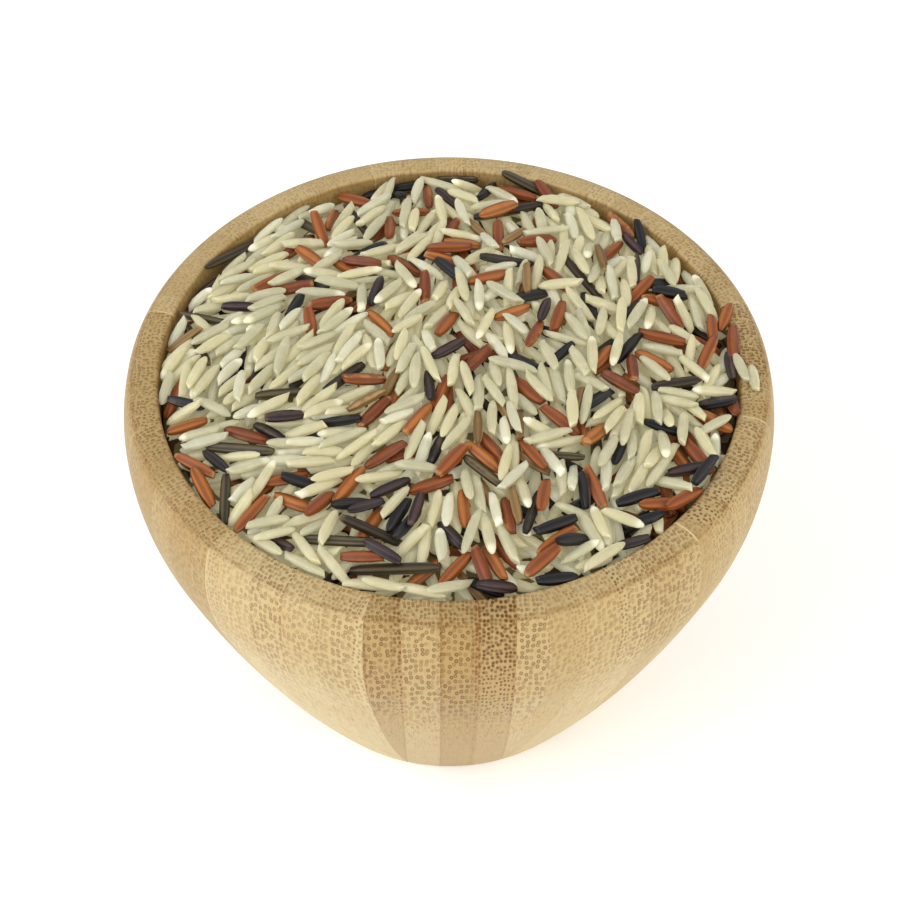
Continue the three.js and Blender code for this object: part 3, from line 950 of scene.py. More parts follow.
RED_ENDS = [
    (1, 855, 545, 1100, 670), (1, 1150, 630, 1300, 710), (1, 1510, 345, 1495, 470),
    (1, 960, 960, 1000, 1120), (1, 1000, 915, 1210, 880), (1, 1370, 960, 1500, 1100),
    (1, 1190, 1420, 1480, 1380), (1, 1030, 395, 1080, 490), (1, 1095, 400, 1150, 290),
    (1, 1200, 215, 1320, 240), (2, 820, 175, 980, 215), (2, 1060, 160, 1150, 235),
    (2, 665, 350, 875, 305), (2, 400, 500, 515, 385), (2, 410, 515, 660, 520),
    (2, 345, 600, 530, 615), (2, 80, 610, 235, 690), (2, 770, 390, 765, 525),
    (2, 970, 515, 1105, 490), (2, 610, 770, 830, 720), (2, 1080, 690, 1210, 790),
    (2, 300, 700, 290, 915), (2, 370, 1135, 500, 930), (2, 735, 990, 975, 945),
    (2, 1130, 1080, 1195, 920), (2, 970, 1180, 1035, 1050), (2, 530, 1360, 730, 1190),
    (2, 810, 1110, 890, 1240), (2, 890, 1390, 1050, 1530), (2, 360, 1560, 440, 1400),
    (2, 130, 300, 285, 305), (3, 610, 0, 715, 90), (3, 545, 250, 655, 150),
    (3, 850, 525, 1040, 570), (3, 920, 560, 1040, 670), (3, 1180, 960, 1260, 820),
    (3, 800, 740, 1040, 810), (3, 750, 860, 985, 985), (3, 470, 950, 580, 830),
    (3, 725, 890, 735, 1050), (3, 545, 1010, 755, 1130), (3, 200, 1260, 335, 1350),
    (3, 1180, 1240, 1410, 1370), (4, 90, 640, 305, 580), (4, 520, 600, 740, 635),
    (4, 195, 820, 385, 890), (4, 240, 950, 340, 1110), (4, 745, 935, 1015, 850),
    (4, 1210, 1060, 1390, 830), (4, 820, 1020, 1065, 1110), (4, 545, 1265, 745, 1050),
    (5, 205, 150, 380, 0), (5, 490, 240, 655, 36), (5, 235, 425, 495, 300),
    (5, 65, 1040, 345, 1040), (5, 725, 1205, 900, 1015), (5, 545, 585, 765, 520),
    (5, 715, 490, 880, 340), (5, 885, 295, 1125, 455), (5, 960, 180, 1130, 390),
    (5, 1140, 620, 1205, 860), (5, 860, 600, 890, 820), (5, 993, 900, 1133, 1190),
    (5, 946, 975, 1061, 1250), (5, 1390, 990, 1560, 870), (5, 1385, 760, 1420, 550),
    (6, 460, 310, 575, 180), (6, 1165, 319, 1335, 499), (6, 860, 730, 1060, 700),
    (6, 1060, 760, 1210, 660), (6, 450, 465, 570, 740), (5, 1290, 1150, 1490, 990),
    (5, 1210, 1235, 1310, 1110), (5, 1270, 270, 1385, 430)]
# Grains moved one by one, by their number in the list: how many mm to the right and to the back,
# and how many degrees round. Most of them would have crossed the wall.
WILD_MOVES = {2: (0, 0, 5), 6: (0, -2.5, 0), 7: (0, -2.5, 0), 15: (0, 1, 0), 21: (0, -3, 0)}
BLACK_MOVES = {6: (0, -2, 0)}
# One red grain more is given here, and where it comes in the row.
RED_AT_THE_WALL = (50.5, -9, 95)
RED_AT_THE_WALL_NUMBER = 36
SEEN_WILD = places_of(WILD_ENDS, WILD_MOVES)
SEEN_BLACK = places_of(BLACK_ENDS, BLACK_MOVES)
SEEN_RED = places_of(RED_ENDS, {})
SEEN_RED.insert(RED_AT_THE_WALL_NUMBER, RED_AT_THE_WALL)
# Grains that lean on the rim or lie on it: right of the axis, behind it and above the rim, in
# mm, for one end and then the other.
ON_THE_RIM = [
    ("red_rice", (52.4, 14.3, 0.9), (50.0, 7.9, 0.2)),
    ("red_rice", (52.3, 8.5, 0.95), (51.8, 0.8, 0.1)),
    ("red_rice", (48.6, 11.6, 0.7), (48.4, 4.8, 0.6)),
    ("black_rice", (50.9, 3.0, -0.1), (51.3, -4.0, 0.0)),
    ("white_rice", (52.0, 1.6, 1.0), (53.6, -5.2, 0.9)),
    ("white_rice", (54.7, -1.1, 0.8), (55.0, -7.4, 0.8))]
print("laid by eye", len(SEEN_WILD), "wild", len(SEEN_BLACK), "black", len(SEEN_RED), "red")

# %% [markdown]
# ## Where a grain may lie
# In the bowl the white grains don't point every way: where they were poured and levelled, they
# lie like a fan, with some that stray. So most headings follow a fan and the rest are free. A
# grain also has to keep off the wall, and no grain may stand out over the heap's solid, because
# the dressed part has to fit the plain one.

# %% Where a grain may lie
# The fan: its bearing in the middle, its turn for each mm to the right, and two waves of one
# strength. The wave across has a length and a start, and the one from front to back a length.
FAN_BEARING = math.radians(75)
FAN_TURN = math.radians(1.3)
WAVE_STRENGTH = 0.35
WAVE_ACROSS = (8, 0.6)
WAVE_BACK = 7
WALL_ROOM = 0.1
HEAP_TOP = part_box("rice_blend")[1][2] / MM - 0.05
print("the heap may reach", round(HEAP_TOP, 2), "mm up")


def fan(x, y):
    """The bearing along which the white grains tend to lie: it turns from left to right."""
    return (FAN_BEARING + FAN_TURN * x
            + WAVE_STRENGTH * np.sin(x / WAVE_ACROSS[0] + WAVE_ACROSS[1])
            + WAVE_STRENGTH * np.cos(y / WAVE_BACK))


def too_high(z, slope, length, thick):
    """Whether a grain would stand out over the top of the heap's solid."""
    return z + np.abs(slope) * length / 2 + thick / 2 > HEAP_TOP


def inside_hollow(x, y, heading, length, width):
    """Whether each try keeps both its ends and its middle clear of the wall."""
    reach = np.maximum(*[np.hypot(x + end * np.cos(heading) * length / 2,
                                  y + end * np.sin(heading) * length / 2) for end in (-1, 1)])
    return np.maximum(reach, np.hypot(x, y) + width / 2) < RIM_INNER_RADIUS - WALL_ROOM


# %% [markdown]
# ## Filling up by rule
# The hidden bed, and the white rice round the grains that are laid as listed, follow a rule alone.
# Grains are dropped one by one until no more find a place low enough. A level says how far over
# the heap's even surface a grain's middle may come to lie: low for the bed, a little above the
# surface for the top, and a bit more along the wall, where grains lean.

# %% Filling up by rule
TRIES = 48
FULL_AFTER = 60
FAN_SHARE = 0.75
FAN_SPREAD = 0.3
# A try that lies steeper, or over more of the grains laid by eye, or across the wall, or too
# high, counts as this many mm higher; a slope of 1 counts as SLOPE_COST mm higher.
REFUSED = 9
COVER_ALLOWED = 0.33
SLOPE_COST = 1.0


def place_tries(rng, innermost):
    """Random places in the hollow for one grain, and a heading for each."""
    out = np.sqrt(rng.uniform(innermost ** 2, RIM_INNER_RADIUS ** 2, TRIES))
    bearing = rng.random(TRIES) * 2 * math.pi
    x, y = out * np.cos(bearing), out * np.sin(bearing)
    loose = rng.random(TRIES) * 2 * math.pi
    fanned = fan(x, y) + rng.normal(0, FAN_SPREAD, TRIES)
    return x, y, np.where(rng.random(TRIES) < FAN_SHARE, fanned, loose)


def fill_to(level, share, rng, innermost=0.0):
    """Drops grains of random kinds until the heap is full up to a level over its surface."""
    chance = np.array([facts[share] for facts in KINDS.values()])
    fallen = []
    misses = 0
    while misses < FULL_AFTER:
        kind = int(rng.choice(len(NAMES), p=chance / chance.sum()))
        facts = KINDS[NAMES[kind]]
        length, width, thick = sized(rng, facts)
        x, y, heading = place_tries(rng, innermost)
        z, slope, covers = at_rest(x, y, heading, length, width, thick, facts["taper"])
        over = z - heap_height(x, y) + SLOPE_COST * np.abs(slope)
        over += REFUSED * (np.abs(slope) > STEEPEST) + REFUSED * (covers > COVER_ALLOWED)
        over += REFUSED * ~inside_hollow(x, y, heading, length, width)
        over += REFUSED * too_high(z, slope, length, thick)
        best = int(np.argmin(over))
        if over[best] > level:
            misses += 1
            continue
        misses = 0
        pose = (x[best], y[best], z[best], heading[best], slope[best])
        stamp(*pose, length, width, thick, facts["taper"])
        fallen.append((kind, *pose, length, width, thick))
    return fallen


# %% [markdown]
# ## Laying the grains whose places were read
# These keep their places and their bearings, and the height map says how they rest there. One
# that would cross the wall is drawn inwards, and one that would ride too high on others is left
# out, because a grain in the air looks worse than a missing one. The few on the rim were read
# with both their ends, so they are laid as they are.

# %% Laying the grains whose places were read
SEEN_LEVEL = 2.1


def lay_seen(name, places, rng):
    """Lays grains at given places, drawn in from the wall where they would cross it."""
    facts = KINDS[name]
    laid = []
    for x, y, degrees, *long in places:
        length, width, thick = sized(rng, facts)
        length = long[0] if long else length
        heading = math.radians(degrees)
        inward = -np.array([x, y]) / math.hypot(x, y) * CELL if x or y else np.zeros(2)
        while not inside_hollow(x, y, heading, length, width):
            x, y = x + inward[0], y + inward[1]
        tries = np.array([[x, y, heading]])
        z, slope, _ = at_rest(*tries.T, length, width, thick, facts["taper"])
        if z[0] - heap_height(x, y) > SEEN_LEVEL or too_high(z[0], slope[0], length, thick):
            print("left out, too high:", name, x, y)
            continue
        pose = (x, y, z[0], heading, float(np.clip(slope[0], -STEEPEST, STEEPEST)))
        stamp(*pose, length, width, thick, facts["taper"], seen=True)
        laid.append((NAMES.index(name), *pose, length, width, thick))
    return laid


def lay_on_rim(rng):
    """Lays the grains whose two ends are given."""
    laid = []
    for name, first, last in ON_THE_RIM:
        first, last = np.array(first), np.array(last)
        run = last - first
        across = math.hypot(run[0], run[1])
        _, width, thick = sized(rng, KINDS[name])
        x, y, over = (first + last) / 2
        pose = (x, y, RIM_HEIGHT + over, math.atan2(run[1], run[0]), run[2] / across)
        stamp(*pose, across, width, thick, KINDS[name]["taper"], seen=True)
        laid.append((NAMES.index(name), *pose, across, width, thick))
    return laid


# %% [markdown]
# ## Filling the bowl
# The order is that of the eye: first the hidden bed, then the grains on the rim, then the long
# wild sticks, which need the most room, then the red and the black grains, and last the white
# rice that closes the gaps. A mark in the map keeps the white grains from hiding the others.

# %% Filling the bowl
SEED = 7
BED_LEVEL = -1.5
TOP_LEVEL = 0.75
EDGE_LEVEL = 1.0
EDGE_BAND = 6.0
EDGE = RIM_INNER_RADIUS - EDGE_BAND
SEEN = {"wild_rice": SEEN_WILD, "red_rice": SEEN_RED, "black_rice": SEEN_BLACK}

rng = np.random.default_rng(SEED)
grains = fill_to(BED_LEVEL, "share", rng)
grains += fill_to(BED_LEVEL, "on_top", rng, EDGE)
print("bed grains", len(grains))
grains += lay_on_rim(rng)
for name, places in SEEN.items():
    grains += lay_seen(name, places, rng)
grains += fill_to(TOP_LEVEL, "on_top", rng)
grains += fill_to(EDGE_LEVEL, "on_top", rng, EDGE)
grains = np.array(grains)
print("grains", len(grains))
for number, name in enumerate(NAMES):
    print("  ", name, int((grains[:, 0] == number).sum()))

# %% [markdown]
# ## A grain's shape
# A milled grain is a slender spindle. One end keeps a slanted notch where the germ was, and
# its sides are a little flat. A sculpted grain would be heavy some fifteen hundred times over,
# so each kind gets a few templates of some sixty faces, built as rings along the grain. An
# attribute says how far along and how far round each point lies: the materials use it for
# grooves and worn tips.

# %% A grain's shape
SIDES = 8
RINGS = 7
# The rings crowd towards the ends: the last one's place, and how strongly they crowd.
LAST_RING = 0.94
CROWDING = 1.3
# The germ end and a broken end begin here, and keep at least this much of the full width.
END_FROM = 0.5
GERM_FULLNESS = 0.62
BROKEN_FULLNESS = 0.78
BROKEN_SLANT = 0.05
GERM_TIP = -0.485
GERM_TIP_SLANT = 1.6


def grain_points(taper, slant, bend, ridge, cut):
    """A grain's points, and for each its cosine and sine round the grain and its place along."""
    steps = LAST_RING * np.sin(np.linspace(-1, 1, RINGS) * CROWDING) / math.sin(CROWDING)
    around = np.arange(SIDES) / SIDES * 2 * math.pi
    points, places = [(GERM_TIP, -GERM_TIP_SLANT * slant, 0)], [(1, 0, -1)]
    for t in steps:
        germ = max(0.0, -t - END_FROM) / (LAST_RING - END_FROM)
        broken = max(0.0, t - END_FROM) / (LAST_RING - END_FROM) if cut else 0.0
        full = max(fullness(t, taper), GERM_FULLNESS * germ, BROKEN_FULLNESS * broken)
        sag = bend * (1 - t * t)
        for i, a in enumerate(around):
            lobe = 1 + ridge * (1 if i % 2 else -1)
            shear = (slant * germ - BROKEN_SLANT * broken) * math.cos(a)
            points.append((t / 2 + shear, math.cos(a) / 2 * full * lobe + sag,
                           math.sin(a) / 2 * full * lobe))
            places.append((math.cos(a), math.sin(a), t))
    points.append((0.5 if not cut else steps[-1] / 2 + 0.01, 0, 0))
    places.append((1, 0, 1))
    return points, places


# %% A template grain
def ring_faces(sides, rings, tip):
    """Faces over rings of points that follow point 0, closed at point 0 and at the tip."""
    faces = []
    for i in range(sides):
        j = (i + 1) % sides
        faces.append((0, 1 + j, 1 + i))
        for ring in range(rings - 1):
            a, b = 1 + ring * sides, 1 + (ring + 1) * sides
            faces.append((a + i, a + j, b + j, b + i))
        last = 1 + (rings - 1) * sides
        faces.append((last + i, last + j, tip))
    return faces


def template_grain(name, taper, slant, bend, ridge, cut, material):
    """A grain 1 long, 1 wide and 1 thick, along X, with the slanted germ end at -X."""
    points, places = grain_points(taper, slant, bend, ridge, cut)
    mesh = bpy.data.meshes.new(name)
    mesh.from_pydata(points, [], ring_faces(SIDES, RINGS, len(points) - 1), shade_flat=False)
    if volume_of(mesh) < 0:
        mesh.flip_normals()
    layer = mesh.attributes.new("grain_place", "FLOAT_VECTOR", "POINT")
    layer.data.foreach_set("vector", np.array(places, np.float32).ravel())
    mesh.materials.append(material)
    return bpy.data.objects.new(name, mesh)


print("faces in a template", len(ring_faces(SIDES, RINGS, SIDES * RINGS + 1)))

# %% The templates
# Each template: slant of the germ end, bend, ridges, whether the other end is broken off.
SHAPES = {
    "white_rice": [(0.08, 0.03, 0.02, False), (0.06, 0.05, 0.03, False),
                   (-0.08, -0.03, 0.02, False), (0.05, 0.0, 0.03, False),
                   (0.085, -0.04, 0.02, False), (-0.06, 0.02, 0.03, True)],
    "chalky_rice": [(0.08, 0.03, 0.02, False), (0.05, -0.04, 0.03, True),
                    (-0.07, 0.0, 0.02, False)],
    "red_rice": [(0.03, 0.02, 0.07, False), (-0.03, 0.0, 0.08, False), (0.02, -0.03, 0.07, False),
                 (0.0, 0.02, 0.08, True)],
    "black_rice": [(0.02, 0.02, 0.09, False), (-0.02, -0.02, 0.1, False), (0.0, 0.03, 0.09, True)],
    "wild_rice": [(0.01, 0.015, 0.1, False), (0.0, -0.012, 0.11, True), (0.01, 0.0, 0.12, False)],
    "brown_rice": [(0.03, 0.02, 0.06, False), (-0.03, 0.03, 0.06, True)],
}
print("templates", sum(len(shapes) for shapes in SHAPES.values()))

# %% [markdown]
# ## Rice materials: what both kinds share
# No two grains have the same tone, so each carries its own random tone and a random mark that
# picks the few with a chalky tip or a worn stripe. A texture in the room would paint bands across
# the heap; these numbers travel with the grain instead.

# %% Rice materials: what both kinds share
def grain_facts(tree):
    """A grain's own numbers: place along it, angle round it, its tone and its mark."""
    place = parts_of(tree, node(tree, "ShaderNodeAttribute",
                                attribute_name="grain_place").outputs["Vector"])
    tone = node(tree, "ShaderNodeAttribute", attribute_name="tone").outputs["Fac"]
    mark = node(tree, "ShaderNodeAttribute", attribute_name="mark").outputs["Fac"]
    around = calc(tree, "ARCTAN2", place[1], place[0])
    return place[2], around, tone, mark


def tone_ramp(tree, tone, colours):
    """Blends through a row of screen colours as tone goes from 0 to 1."""
    places = [i / (len(colours) - 1) for i in range(len(colours))]
    return colour_ramp(tree, tone, [from_screen(*c) for c in colours], places, "LINEAR")


def grain_clouds(tree, scale):
    """Faint clouds, fixed in the heap."""
    return clouds(tree, node(tree, "ShaderNodeTexCoord").outputs["Object"], scale)


# %% [markdown]
# ## White rice
# Milled rice is half clear, so light passes in and out again and the heap seems to glow a
# little between the grains. Subsurface scattering does most of that, and a weak glow stands in
# for light that has come through several grains. Some grains have a chalky tip, and all have
# faint clouds.

# %% White rice
INNER_GLOW = 0.3
WHITE_CLOUDS = 400.0
# How deep red, green and blue light goes, as shares of the depth in metres.
LIGHT_SHARES = (1.0, 0.95, 0.7)
LIGHT_DEPTH = 0.0022


def white_material(name, tones, chalk, chalk_share):
    """Half clear milled rice: a tone for each grain, faint clouds, and some chalky tips."""
    material, tree, shader = new_material(name)
    along_grain, _, tone, mark = grain_facts(tree)
    chalk = from_screen(*chalk)
    chosen = step(tree, mark, 1 - chalk_share, 1 - chalk_share + 0.02)
    tip = product(tree, step(tree, along_grain, 0.45, 0.8), chosen)
    colour = blend(tree, tip, tone_ramp(tree, tone, tones), chalk)
    cloud = step(tree, grain_clouds(tree, WHITE_CLOUDS), 0.4, 0.8, 0, 0.25)
    colour = blend(tree, cloud, colour, chalk)
    tree.links.new(colour, shader.inputs["Base Color"])
    shader.inputs["Roughness"].default_value = 0.35
    tree.links.new(colour, shader.inputs["Emission Color"])
    shader.inputs["Emission Strength"].default_value = INNER_GLOW
    shader.inputs["Subsurface Weight"].default_value = 1.0
    shader.inputs["Subsurface Radius"].default_value = LIGHT_SHARES
    shader.inputs["Subsurface Scale"].default_value = LIGHT_DEPTH
    return material


# %% [markdown]
# ## Rice in its bran
# Red, black, brown and wild rice keep their bran. It is waxy, ribbed along the grain, and worn pale
# at the tips of some grains and along one side of others. The template has ribs too, but they are
# coarse, so a fine bump adds the grooves between them, and the colour paints shade into them.

# %% Rice in its bran
BRAN_CLOUDS = 600.0
# How many waves of the groove pattern go round a grain: one for each of its ribs.
RIBS = SIDES / 2
GROOVE_RELIEF = 0.00014


def bran_material(name, tones, groove_shade_colour, tip_colour, tip_share, groove_shade):
    """Rice in its bran: a tone for each grain, painted shade in the grooves, a worn stripe and worn
    tips.
    """
    material, tree, shader = new_material(name)
    along_grain, around, tone, mark = grain_facts(tree)
    cloud = grain_clouds(tree, BRAN_CLOUDS)
    colour = blend(tree, step(tree, cloud, 0.42, 0.7, 0, 0.4), tone_ramp(tree, tone, tones),
                   from_screen(*tones[-2]))
    waves = calc(tree, "COSINE", calc(tree, "MULTIPLY_ADD", around, RIBS,
                                      product(tree, tone, 6.0)))
    # Painted shade: the grooves between the ribs are darkened.
    colour = blend(tree, step(tree, waves, -1.0, 0.3, groove_shade, 0.0), colour,
                   from_screen(*groove_shade_colour))
    side = calc(tree, "COSINE", calc(tree, "MULTIPLY_ADD", mark, 40.0, around))
    stripe = product(tree, step(tree, side, 0.7, 0.95, 0, 0.6), step(tree, mark, 0.3, 0.4, 1, 0),
                     step(tree, cloud, 0.4, 0.6, 0.2, 1))
    tip = product(tree, step(tree, calc(tree, "ABSOLUTE", along_grain), 0.76, 1.0),
                  step(tree, mark, 1 - tip_share, 1 - tip_share + 0.05))
    colour = blend(tree, calc(tree, "MAXIMUM", tip, stripe), colour, from_screen(*tip_colour))
    tree.links.new(colour, shader.inputs["Base Color"])
    shader.inputs["Roughness"].default_value = 0.4
    shader.inputs["Specular IOR Level"].default_value = 0.35
    relief = node(tree, "ShaderNodeBump", {
        "Height": waves, "Strength": 0.8, "Distance": GROOVE_RELIEF})
    tree.links.new(relief.outputs[0], shader.inputs["Normal"])
    return material


# %% The looks of the kinds
# White rice: tones from dark to light, the chalk's colour, the share of chalky tips. Rice in its
# bran: tones, the colour of the painted shade in the grooves, the worn tips' colour, their share,
# and how strong the painted shade in the grooves is.
LOOKS = {
    "white_rice": white_material(
        "white_rice", [(167, 163, 136), (174, 169, 138), (181, 174, 139), (189, 182, 146)],
        (215, 210, 184), 0.2),
    "chalky_rice": white_material(
        "chalky_rice", [(175, 173, 149), (185, 182, 157), (195, 191, 167)], (220, 216, 194), 0.4),
    "red_rice": bran_material(
        "red_rice", [(116, 58, 34), (144, 75, 35), (162, 90, 41), (186, 114, 52)],
        (88, 40, 20), (198, 142, 84), 0.3, 0.5),
    "black_rice": bran_material(
        "black_rice", [(27, 29, 33), (34, 36, 39), (46, 40, 42), (80, 56, 56)],
        (9, 9, 11), (104, 84, 72), 0.12, 0.75),
    "wild_rice": bran_material(
        "wild_rice", [(42, 34, 28), (60, 48, 36), (82, 70, 48), (100, 90, 64)],
        (20, 15, 12), (132, 108, 72), 0.3, 0.7),
    "brown_rice": bran_material(
        "brown_rice", [(120, 92, 54), (146, 114, 68), (168, 134, 86)],
        (88, 60, 30), (196, 162, 108), 0.4, 0.4),
}
print("looks", list(LOOKS))

# %% [markdown]
# ## Placing the grains
# A loop could copy a mesh for every grain, but Geometry Nodes do it in one go: they put a
# template grain on each resting place. The points carry the turn, the size, the template's number
# and two random draws. Every grain is rolled a little round its own length, as real ones are.

# %% The tree that places grains
ROLL = 0.5


def scatter_tree():
    """Puts a template on every point, turned, sized and rolled."""
    tree, given, result = geometry_tree("grains", [
        ("Templates", "NodeSocketCollection", None),
        ("Size", "NodeSocketFloat", 1.0),
        ("Seed", "NodeSocketInt", 0),
        ("Material", "NodeSocketMaterial", None),
    ])

    def named(name, kind):
        """What the points carry under a name."""
        return node(tree, "GeometryNodeInputNamedAttribute", {"Name": name},
                    data_type=kind).outputs["Attribute"]

    templates = node(tree, "GeometryNodeCollectionInfo", {
        "Collection": given.outputs["Templates"], "Separate Children": True,
        "Reset Children": True})
    roll = node(tree, "FunctionNodeRandomValue", {
        2: -ROLL, 3: ROLL, "Seed": given.outputs["Seed"]}, data_type="FLOAT")
    roll_turn = node(tree, "FunctionNodeEulerToRotation", {0: vector(tree, roll.outputs[1])})
    lie = node(tree, "FunctionNodeEulerToRotation", {0: named("turn", "FLOAT_VECTOR")})
    turn = node(tree, "FunctionNodeRotateRotation", {
        0: lie.outputs[0], 1: roll_turn.outputs[0]}, rotation_space="LOCAL")
    placed = node(tree, "GeometryNodeInstanceOnPoints", {
        "Points": given.outputs["Geometry"], "Instance": templates.outputs[0],
        "Pick Instance": True, "Instance Index": named("template", "INT"),
        "Rotation": turn.outputs[0],
        "Scale": stretched(tree, named("size", "FLOAT_VECTOR"), given.outputs["Size"])})
    end_tree(tree, placed.outputs[0], given, result)
    return tree


# %% Placing the grains
def carry(points, label, kind, field, values):
    """Gives every point of a mesh a value of its own."""
    layer = points.attributes.new(label, kind, "POINT")
    layer.data.foreach_set(field, values)


def resting_points(name, rows, rng):
    """A mesh with one point for each grain of a kind, which carries how the grain lies."""
    x, y, z, heading, slope, length, width, thick = rows[:, 1:].T
    points = bpy.data.meshes.new(name + "_points")
    points.from_pydata(np.stack([x, y, z], -1) * MM, [], [])
    flip = rng.random(len(rows)) < 0.5
    heading = heading + math.pi * flip
    slope = np.where(flip, -slope, slope)
    turn = np.stack([np.zeros(len(rows)), -np.arctan(slope), heading], -1)
    size = np.stack([length, width, thick], -1) * MM
    for label, values in (("turn", turn), ("size", size)):
        carry(points, label, "FLOAT_VECTOR", "vector", values.astype(np.float32).ravel())
    for label in ("tone", "mark"):
        carry(points, label, "FLOAT", "value", rng.random(len(rows)).astype(np.float32))
    picks = rng.integers(0, len(SHAPES[name]), len(rows))
    carry(points, "template", "INT", "value", picks.astype(np.int32))
    return points


def place_grains(name, rows, tree, rng, seed):
    """One piece that holds all the grains of a kind."""
    collection = bpy.data.collections.new(name + "_templates")
    for i, shape in enumerate(SHAPES[name]):
        collection.objects.link(template_grain(
            f"{name}_{i}", KINDS[name]["taper"], *shape, LOOKS[name]))
    piece = run_tree(name, resting_points(name, rows, rng), tree, {
        "Templates": collection, "Size": 1.0, "Seed": seed, "Material": LOOKS[name]})
    finish_piece(piece, "rice_blend")


scatter = scatter_tree()
for number, name in enumerate(NAMES):
    place_grains(name, grains[grains[:, 0] == number], scatter, rng, number)

# %% [markdown]
# ## The core under the loose grains
# Nobody sees more than a few layers into a heap, so the rest is one solid that fills the bowl
# up to the lowest loose grains. Grains all the way down would be far heavier and look the same.
# The core's top has relief of a grain's size and the colour of rice in shade, for the few places
# where a gap lets the eye through.

# %% The core's shape
# Sizes in mm.
CORE_GAP = 0.25
CORE_RINGS = 60
CORE_SEGMENTS = 96
CORE_RELIEF = (-0.5, 0.3)
# The core's floor stands over the hollow's by this share of its rounding, and draws in a little.
FLOOR_LIFT = 0.45
FLOOR_INSET = 2


def core_ring(radius):
    """The places of one ring of the core's points."""
    turns = [2 * math.pi * i / CORE_SEGMENTS for i in range(CORE_SEGMENTS)]
    return [(radius * math.cos(a), radius * math.sin(a)) for a in turns]


def core_points(rng):
    """The middle of the top, rings over the top and down the skirt, and the middle below."""
    points = [(0, 0, float(heap_height(0, 0)) - LOOSE_DEPTH)]
    top_radius = RIM_INNER_RADIUS - CORE_GAP
    for ring in range(1, CORE_RINGS + 1):
        for x, y in core_ring(top_radius * ring / CORE_RINGS):
            points.append((x, y, float(heap_height(x, y)) - LOOSE_DEPTH
                           + rng.uniform(*CORE_RELIEF)))
    wall = arc((top_radius - HOLLOW_ARC + CORE_GAP, RIM_HEIGHT - LIP_DEPTH),
               HOLLOW_ARC - CORE_GAP, 0, -HOLLOW_SLOPE, 8)
    floor = FLOOR_HEIGHT + CORE_GAP + FLOOR_ROUNDING * FLOOR_LIFT
    corner_radius = wall[-1][0] - (wall[-1][1] - floor) * math.tan(HOLLOW_SLOPE)
    for radius, z in [*wall, (corner_radius - FLOOR_INSET, floor)]:
        points += [(x, y, z) for x, y in core_ring(radius)]
    return points + [(0, 0, floor)]


def core_mesh(rng):
    """The core: a domed top in rings, and a plain skirt and floor just inside the hollow."""
    points = core_points(rng)
    rings = (len(points) - 2) // CORE_SEGMENTS
    mesh = bpy.data.meshes.new("rice_core")
    mesh.from_pydata(np.array(points) * MM, [],
                     ring_faces(CORE_SEGMENTS, rings, len(points) - 1), shade_flat=False)
    if volume_of(mesh) < 0:
        mesh.flip_normals()
    return mesh


# %% The core's colour
CORE_SPECKS = 420.0
SHADED_WHITE = from_screen(142, 132, 98)
SHADED_RED = from_screen(76, 48, 32)


def core_material():
    """Rice in shade: mostly dull white, with specks as dark as red grains."""
    material, tree, shader = new_material("rice_core")
    specks = node(tree, "ShaderNodeTexVoronoi", {
        "Vector": node(tree, "ShaderNodeTexCoord").outputs["Object"], "Scale": CORE_SPECKS})
    draw = node(tree, "ShaderNodeSeparateColor", {0: specks.outputs["Color"]}).outputs[0]
    colour = blend(tree, step(tree, draw, 0.6, 0.75), SHADED_WHITE, SHADED_RED)
    tree.links.new(colour, shader.inputs["Base Color"])
    shader.inputs["Roughness"].default_value = 0.6
    return material


core = bpy.data.objects.new("rice_core", core_mesh(rng))
core.data.materials.append(core_material())
bpy.context.scene.collection.objects.link(core)
finish_piece(core, "rice_blend")

# %% [markdown]
# ## Floor and light
# A product photo on white: a pale floor that throws light back on the taper, and broad soft
# lights. The floor glows a little, as an overexposed sheet does. The cooler lamp on the left is
# the stronger one, and the warmer one on the right keeps the bowl's right side from going dark.

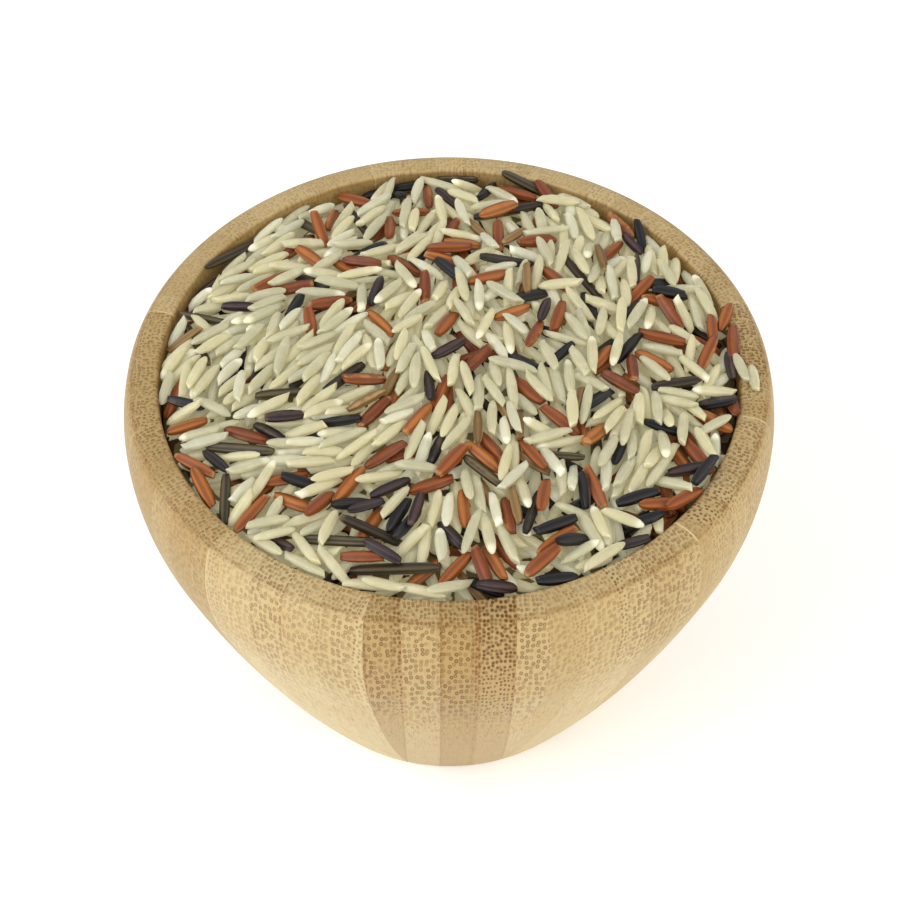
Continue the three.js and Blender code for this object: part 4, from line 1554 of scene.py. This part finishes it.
# %% Floor
FLOOR_HALF = 3.0
FLOOR_GLOW = 0.27
floor_mesh = bpy.data.meshes.new("floor")
corners = [(x * FLOOR_HALF, y * FLOOR_HALF, 0) for x, y in ((-1, -1), (1, -1), (1, 1), (-1, 1))]
floor_mesh.from_pydata(corners, [], [(0, 1, 2, 3)])
floor = bpy.data.objects.new("floor", floor_mesh)
bpy.context.scene.collection.objects.link(floor)
paint, _, paint_shader = new_material("floor_paint")
paint_shader.inputs["Base Color"].default_value = (0.9, 0.9, 0.9, 1)
paint_shader.inputs["Roughness"].default_value = 0.9
paint_shader.inputs["Emission Color"].default_value = (1, 1, 1, 1)
paint_shader.inputs["Emission Strength"].default_value = FLOOR_GLOW
floor_mesh.materials.append(paint)
print("floor", 2 * FLOOR_HALF, "metres wide")

# %% Light
# The lamps aim at the bowl's upper half. Each has a place and a size in metres, a power in watts
# and a tint.
AIM = (0, 0, 0.06)
LAMPS = {
    "key": {"place": (-0.7, -0.35, 0.6), "size": 0.8, "power": 4.3, "tint": (0.96, 1.0, 1.08)},
    "fill": {"place": (0.6, -0.6, 0.5), "size": 0.9, "power": 3.1, "tint": (1.04, 1.0, 0.82)},
}
STUDIO_WHITE = 0.75


def soft_light(name, place, size, power, tint):
    """A round, broad lamp that shines from its place towards the bowl."""
    light = bpy.data.lights.new(name, "AREA")
    light.color = tint
    light.shape = "DISK"
    light.size = size
    light.energy = power
    lamp = bpy.data.objects.new(name, light)
    lamp.location = place
    lamp.rotation_euler = (Vector(AIM) - Vector(place)).to_track_quat("-Z", "Y").to_euler()
    bpy.context.scene.collection.objects.link(lamp)


for name, facts in LAMPS.items():
    soft_light(name, **facts)
world = bpy.data.worlds.new("studio")
world.use_nodes = True
backdrop = world.node_tree.nodes["Background"]
backdrop.inputs["Color"].default_value = (1, 1, 1, 1)
backdrop.inputs["Strength"].default_value = STUDIO_WHITE
bpy.context.scene.world = world
bpy.context.scene.view_settings.view_transform = "Standard"
print("lamps", list(LAMPS))

# %% [markdown]
# ## Camera
# The bowl was seen from the front and rather steeply from above, close enough for the rim's
# front to look larger than its back. The camera stands where the grains' places were read from.

# %% Camera
NEAREST = 0.01
camera_data = bpy.data.cameras.new("camera")
camera_data.sensor_width = CAMERA_SENSOR
camera_data.lens = CAMERA_LENS
camera_data.clip_start = NEAREST
camera = bpy.data.objects.new("camera", camera_data)
camera.location = (CAMERA_PLACE[0], CAMERA_PLACE[1], RIM_HEIGHT * MM + CAMERA_PLACE[2])
camera.rotation_euler = (math.pi / 2 - CAMERA_PITCH, 0, 0)
bpy.context.scene.collection.objects.link(camera)
bpy.context.scene.camera = camera
print("camera looks down by", round(math.degrees(CAMERA_PITCH), 1), "degrees")
